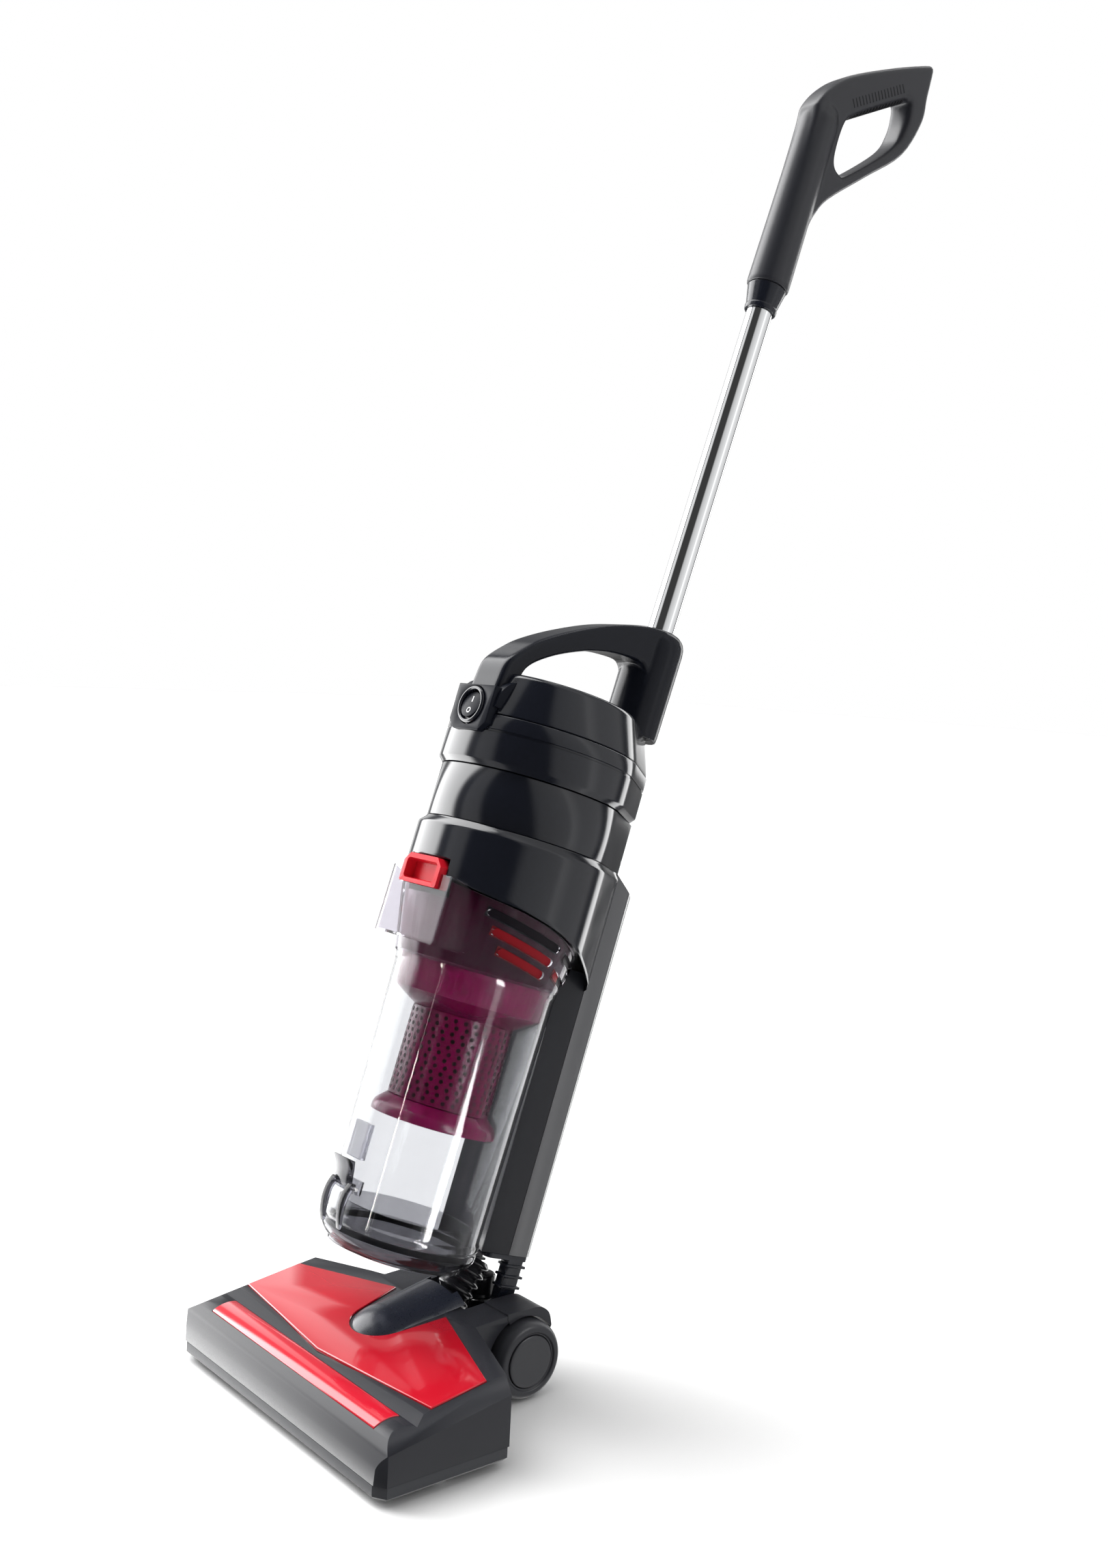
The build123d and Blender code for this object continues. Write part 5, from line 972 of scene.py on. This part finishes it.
def bar_form(bm, outer, inner, half, edge):
    """Flat frame between two closed lines with rounded-off edges; inner may be None."""
    turns = [radians(22.5 * k) for k in range(5)]
    steps = [(-half + edge * (1 - cos(t)), edge * (1 - sin(t))) for t in turns]
    steps += [(-x, inset) for x, inset in reversed(steps)]
    ends = []
    for line, sign in ((outer, 1.0), (inner, -1.0)):
        if line is not None:
            rings = [[body_point(x, p.x, p.y) for p in shifted(line, sign * inset)] for x, inset in steps]
            loops = bridged(bm, rings, (False, False))
            ends.append((loops[0], loops[-1]))
    for which in (0, 1):
        bmesh.ops.triangle_fill(bm, use_beauty=True, edges=[e for loops in ends for e in loops[which]])


class VACUUM_OT_handles(VacuumOperator, Operator):
    """Carry handle, chrome tube, loop handle, its collar and ribbed insert."""

    bl_idname = "vacuum.handles"
    bl_label = "Handles and tube"

    arch_outer = [
        (-171, 462), (-169.6, 478), (-166.3, 494), (-153.5, 508.6), (-139.6, 520.2), (-112.5, 536.9),
        (-76.5, 554.8), (-40.7, 566.8), (-15, 570.4),
    ]
    arch_inner = [
        (-34, 531), (-42, 536.6), (-62, 535), (-79.4, 531.2), (-101.7, 523.3), (-128, 509.6), (-147, 494),
        (-152, 476),
    ]
    arch_foot = [(-8, 566), (-8, 480), (-34, 480)]
    post = (
        (22.6, 481), (23, 486), (23, 556), (22.4, 561), (20.6, 565.4), (17.4, 568.6), (13.5, 570),
        (11.2, 570), (11.2, 481),
    )
    grip_outer = [
        (-18.5, 1028), (-19, 1044), (-8.5, 1065.5), (12, 1088.5), (58.5, 1124.5), (95, 1149.6),
        (102.6, 1152.4), (105.4, 1147), (106.8, 1123), (108.5, 1099), (95, 1060), (60, 1019), (24, 977),
        (13, 955), (6, 935), (-16, 935),
    ]
    grip_loop = [
        (17.5, 1043), (27, 1058.5), (66, 1094), (83, 1107), (87.5, 1101), (88, 1082), (78.5, 1057),
        (37.5, 1009), (26.5, 1003.5), (17.5, 1011),
    ]
    shaft = (
        (0, 880), (12, 880), (17.6, 880), (18.2, 881), (18.2, 890), (17.6, 960), (17.2, 1036), (15, 1046),
        (10, 1053), (0, 1053),
    )
    tube = [(9.8, 492), (11.0, 492), (11.0, 985), (9.8, 985)]
    cuff = [
        (11.3, 858), (13.4, 858, 0.8), (13.8, 861.5, 0.6), (13.2, 862.4, 0.3), (16.6, 879.6, 1),
        (11.3, 879.6),
    ]
    rib_run = ((24.0, 1055.5), (80.0, 1105.0))
    rib = [(-11.4, 5), (-10.4, 1.6), (-8, -0.6), (-5, -1.4), (5, -1.4), (8, -0.6), (10.4, 1.6), (11.4, 5)]
    fin = [(11.5, 6.5), (13.15, 6.5), (13.15, 14), (11.5, 14)]
    # Half width and edge rounding of the two flat bars
    arch_half, arch_edge = 17.4, 4.0
    grip_half, grip_edge = 13.0, 5.2

    def carry(self):
        """Arch and rear post in one skin."""
        bm = bmesh.new()
        line = curve_points(self.arch_outer, 8) + self.arch_foot + curve_points(self.arch_inner, 8)
        bar_form(bm, line[::-1], None, self.arch_half, self.arch_edge)
        turned(bm, self.post, TUBE_AXIS, 64)
        return blended(bm, self.shape.voxel * 0.6, 9)

    def grip(self):
        """Loop and shaft in one skin."""
        bm = bmesh.new()
        outer = curve_points(self.grip_outer, 5, True)[::-1]
        inner = curve_points(self.grip_loop, 6, True)[::-1]
        bar_form(bm, outer, inner, self.grip_half, self.grip_edge)
        turned(bm, self.shaft, TUBE_AXIS, 64)
        return blended(bm, self.shape.voxel * 0.8, 18)

    def ribs(self):
        """Ribbed insert under the grip bar."""
        count = self.shape.ribs
        bm = bmesh.new()
        start, end = (Vector(p) for p in self.rib_run)
        along = (end - start).normalized()
        up = Vector((-along.y, along.x))
        pitch = (end - start).length / count
        mirrored = [(-x, v) for x, v in self.fin]
        for i in range(count):
            for section, low, high in ((self.rib, 0.14, 0.8), (self.fin, 0.4, 0.62), (mirrored, 0.4, 0.62)):
                rings = []
                for share in (low, high):
                    at = start + along * pitch * (i + share)
                    rings.append([body_point(x, *(at + up * v)) for x, v in section])
                bridged(bm, rings)
        return bm

    def execute(self, context):
        piece("carry_arch", self.carry(), "main_body", "arch_black", ["carry_handle"], 80)
        self.turn("tube_polished", self.tube, TUBE_AXIS, "main_body", "tube_chrome", "tube", "chrome")
        piece("grip_loop", self.grip(), "main_body", "grip_charcoal", ["grip"], 80)
        self.turn(
            "grip_cuff", self.cuff, TUBE_AXIS, "main_body", "trim_black", "grip_collar", "charcoal_plastic")
        piece("grip_ribs", self.ribs(), "main_body", "rubber_black", ["grip_insert"])
        return {"FINISHED"}


class VACUUM_OT_stage(VacuumOperator, Operator):
    """Pale floor, soft studio light and the camera at the photograph's angle."""

    bl_idname = "vacuum.stage"
    bl_label = "Stage"

    camera_at = Vector((962.06, -632.22, 556.34)) * MM
    right = Vector((0.6350, 0.7709, 0.0495))
    down = Vector((0.0932, -0.0129, -0.9956))
    ahead = Vector((-0.7669, 0.6368, -0.0801))
    # Flats round the studio: degrees to the right of the camera, brightness
    flats = (
        (-180, 0.25), (-168, 0.25), (-166, 1.3), (-157, 1.3), (-155, 0.3), (-147, 0.3), (-143, 7), (-97, 8),
        (-90, 0.25), (-82, 0.25), (-77, 0.9), (-57, 0.8), (-50, 0.05), (10, 0.05), (20, 0.6), (60, 0.9),
        (66, 1.4), (80, 0.9), (112, 0.7), (122, 0.12), (130, 0.12), (132, 3.5), (145, 4), (147, 0.12),
        (160, 0.15), (166, 2), (170, 2), (174, 0.3),
    )
    # Strength of the world, by which the flats' colours are divided
    gain = 10.0
    head_pieces = ("head_shell", "head_arms", "head_neck", "head_sole", "tyre_right", "hub_right")
    head_middle = Vector((0.1, 0.0, 0.03))
    bin_middle = body_point(0, BIN_B, 170)
    # Name, place as (degrees, distance, height), aim, size, power, colour, the pieces it falls on
    soft_lights = (
        ("head_soft", (62, 1.5, 1.1), head_middle, (0.9, 0.5), 14.0, (1, 1, 1), head_pieces),
        ("bin_strip", (35, 1.7, 0.48), bin_middle, (0.3, 1.5), 170.0, (1, 1, 1), ("bin_shell",)),
        ("bin_line", (-47, 1.7, 0.98), bin_middle, (0.06, 1.5), 26.0, (1, 0.93, 0.84), ("bin_shell",)),
    )

    def around(self, degrees, distance, height):
        """A place round the machine, counted from the camera to the right."""
        flat_right = Vector((self.right.x, self.right.y, 0)).normalized()
        flat_ahead = Vector((self.ahead.x, self.ahead.y, 0)).normalized()
        turn = radians(degrees)
        away = flat_right * sin(turn) - flat_ahead * cos(turn)
        return Vector((0, 0.12, height)) + away * distance

    def lights(self):
        """Rectangular soft lights, each of which falls on some pieces only."""
        for name, place, aim, size, power, colour, only in self.soft_lights:
            lamp = bpy.data.lights.new(name, "AREA")
            lamp.shape = "RECTANGLE"
            lamp.size, lamp.size_y = size
            lamp.energy = power
            lamp.color = colour
            obj = placed(name, lamp)
            obj.location = self.around(*place)
            obj.rotation_euler = (aim - obj.location).to_track_quat("-Z", "Y").to_euler()
            obj.visible_camera = False
            lit = bpy.data.collections.new(name + "_pieces")
            for piece_name in only:
                lit.objects.link(bpy.data.objects[piece_name])
            obj.light_linking.receiver_collection = lit

    def studio(self):
        """World of light and dark flats round the machine, white where the camera looks straight at it."""
        world = bpy.data.worlds.new("studio")
        world.use_nodes = True
        tree = world.node_tree
        where = added(tree, "TexCoord")
        heading = atan2(-self.ahead.x, -self.ahead.y) - pi / 2
        turn = added(tree, "Mapping", Rotation=(0, 0, heading))
        turn.vector_type = "VECTOR"
        round_view = added(tree, "TexGradient")
        round_view.gradient_type = "RADIAL"
        ramp = added(tree, "ValToRGB")
        stops = ramp.color_ramp.elements
        stops.remove(stops[1])
        for degrees, level in self.flats:
            stop = stops.new(degrees / 360 + 0.5) if degrees > -180 else stops[0]
            stop.color = (*[level / self.gain] * 3, 1)
        path = added(tree, "LightPath")
        seen = added(tree, "Mix")
        seen.data_type = "RGBA"
        seen.inputs[7].default_value = (*[1 / self.gain] * 3, 1)
        backdrop = tree.nodes["Background"]
        fill(backdrop, {"Strength": self.gain})
        join(
            tree, (where, "Generated", turn, "Vector"), (turn, "Vector", round_view, "Vector"),
            (round_view, "Fac", ramp, "Fac"), (path, "Is Camera Ray", seen, 0), (ramp, "Color", seen, 6),
            (seen, 2, backdrop, "Color"))
        return world

    def execute(self, context):
        scene = context.scene
        camera = bpy.data.cameras.new("photo_camera")
        camera.lens = 36.96
        camera.sensor_fit = "VERTICAL"
        camera.sensor_height = 36.0
        camera.clip_end = 60.0
        view = placed("photo_camera", camera)
        axes = Matrix([v.normalized() for v in (self.right, -self.down, -self.ahead)]).transposed()
        view.matrix_world = Matrix.Translation(self.camera_at) @ axes.to_4x4()
        scene.camera = view
        bm = bmesh.new()
        bmesh.ops.create_grid(bm, x_segments=8, y_segments=8, size=14.0)
        mesh = meshed("floor", bm)
        mesh.materials.append(LOOKS["floor_pale"])
        floor = placed("floor", mesh)
        floor.visible_glossy = False
        top = bpy.data.lights.new("top_light", "SUN")
        top.energy = 1.6
        top.angle = radians(60)
        above = placed("top_light", top)
        above.rotation_euler = (radians(18), radians(-14), 0)
        above.visible_glossy = False
        self.lights()
        scene.world = self.studio()
        scene.view_settings.view_transform = "Standard"
        return {"FINISHED"}


class VACUUM_PT_panel(Panel):
    """Sidebar panel with the shape and look values and the operators."""

    bl_label = "Upright vacuum cleaner"
    bl_idname = "VACUUM_PT_panel"
    bl_space_type = "VIEW_3D"
    bl_region_type = "UI"
    bl_category = "Vacuum"

    def draw(self, context):
        for group in (context.scene.vacuum_shape, context.scene.vacuum_look):
            for name in group.__annotations__:
                self.layout.prop(group, name)
        for cls in CLASSES:
            if issubclass(cls, Operator):
                self.layout.operator(cls.bl_idname)


CLASSES = (
    VacuumShape, VacuumLook, VACUUM_OT_looks, VACUUM_OT_head, VACUUM_OT_wheels, VACUUM_OT_link,
    VACUUM_OT_bin, VACUUM_OT_cyclone, VACUUM_OT_housing, VACUUM_OT_switch, VACUUM_OT_handles,
    VACUUM_OT_stage, VACUUM_PT_panel,
)


def register():
    for cls in CLASSES:
        bpy.utils.register_class(cls)
    bpy.types.Scene.vacuum_shape = PointerProperty(type=VacuumShape)
    bpy.types.Scene.vacuum_look = PointerProperty(type=VacuumLook)


def unregister():
    del bpy.types.Scene.vacuum_look
    del bpy.types.Scene.vacuum_shape
    for cls in reversed(CLASSES):
        bpy.utils.unregister_class(cls)


def main():
    register()
    bpy.ops.vacuum.looks()
    bpy.ops.vacuum.head()
    bpy.ops.vacuum.wheels()
    bpy.ops.vacuum.link()
    bpy.ops.vacuum.bin()
    bpy.ops.vacuum.cyclone()
    bpy.ops.vacuum.housing()
    bpy.ops.vacuum.switch()
    bpy.ops.vacuum.handles()
    bpy.ops.vacuum.stage()


if __name__ == "__main__":
    main()
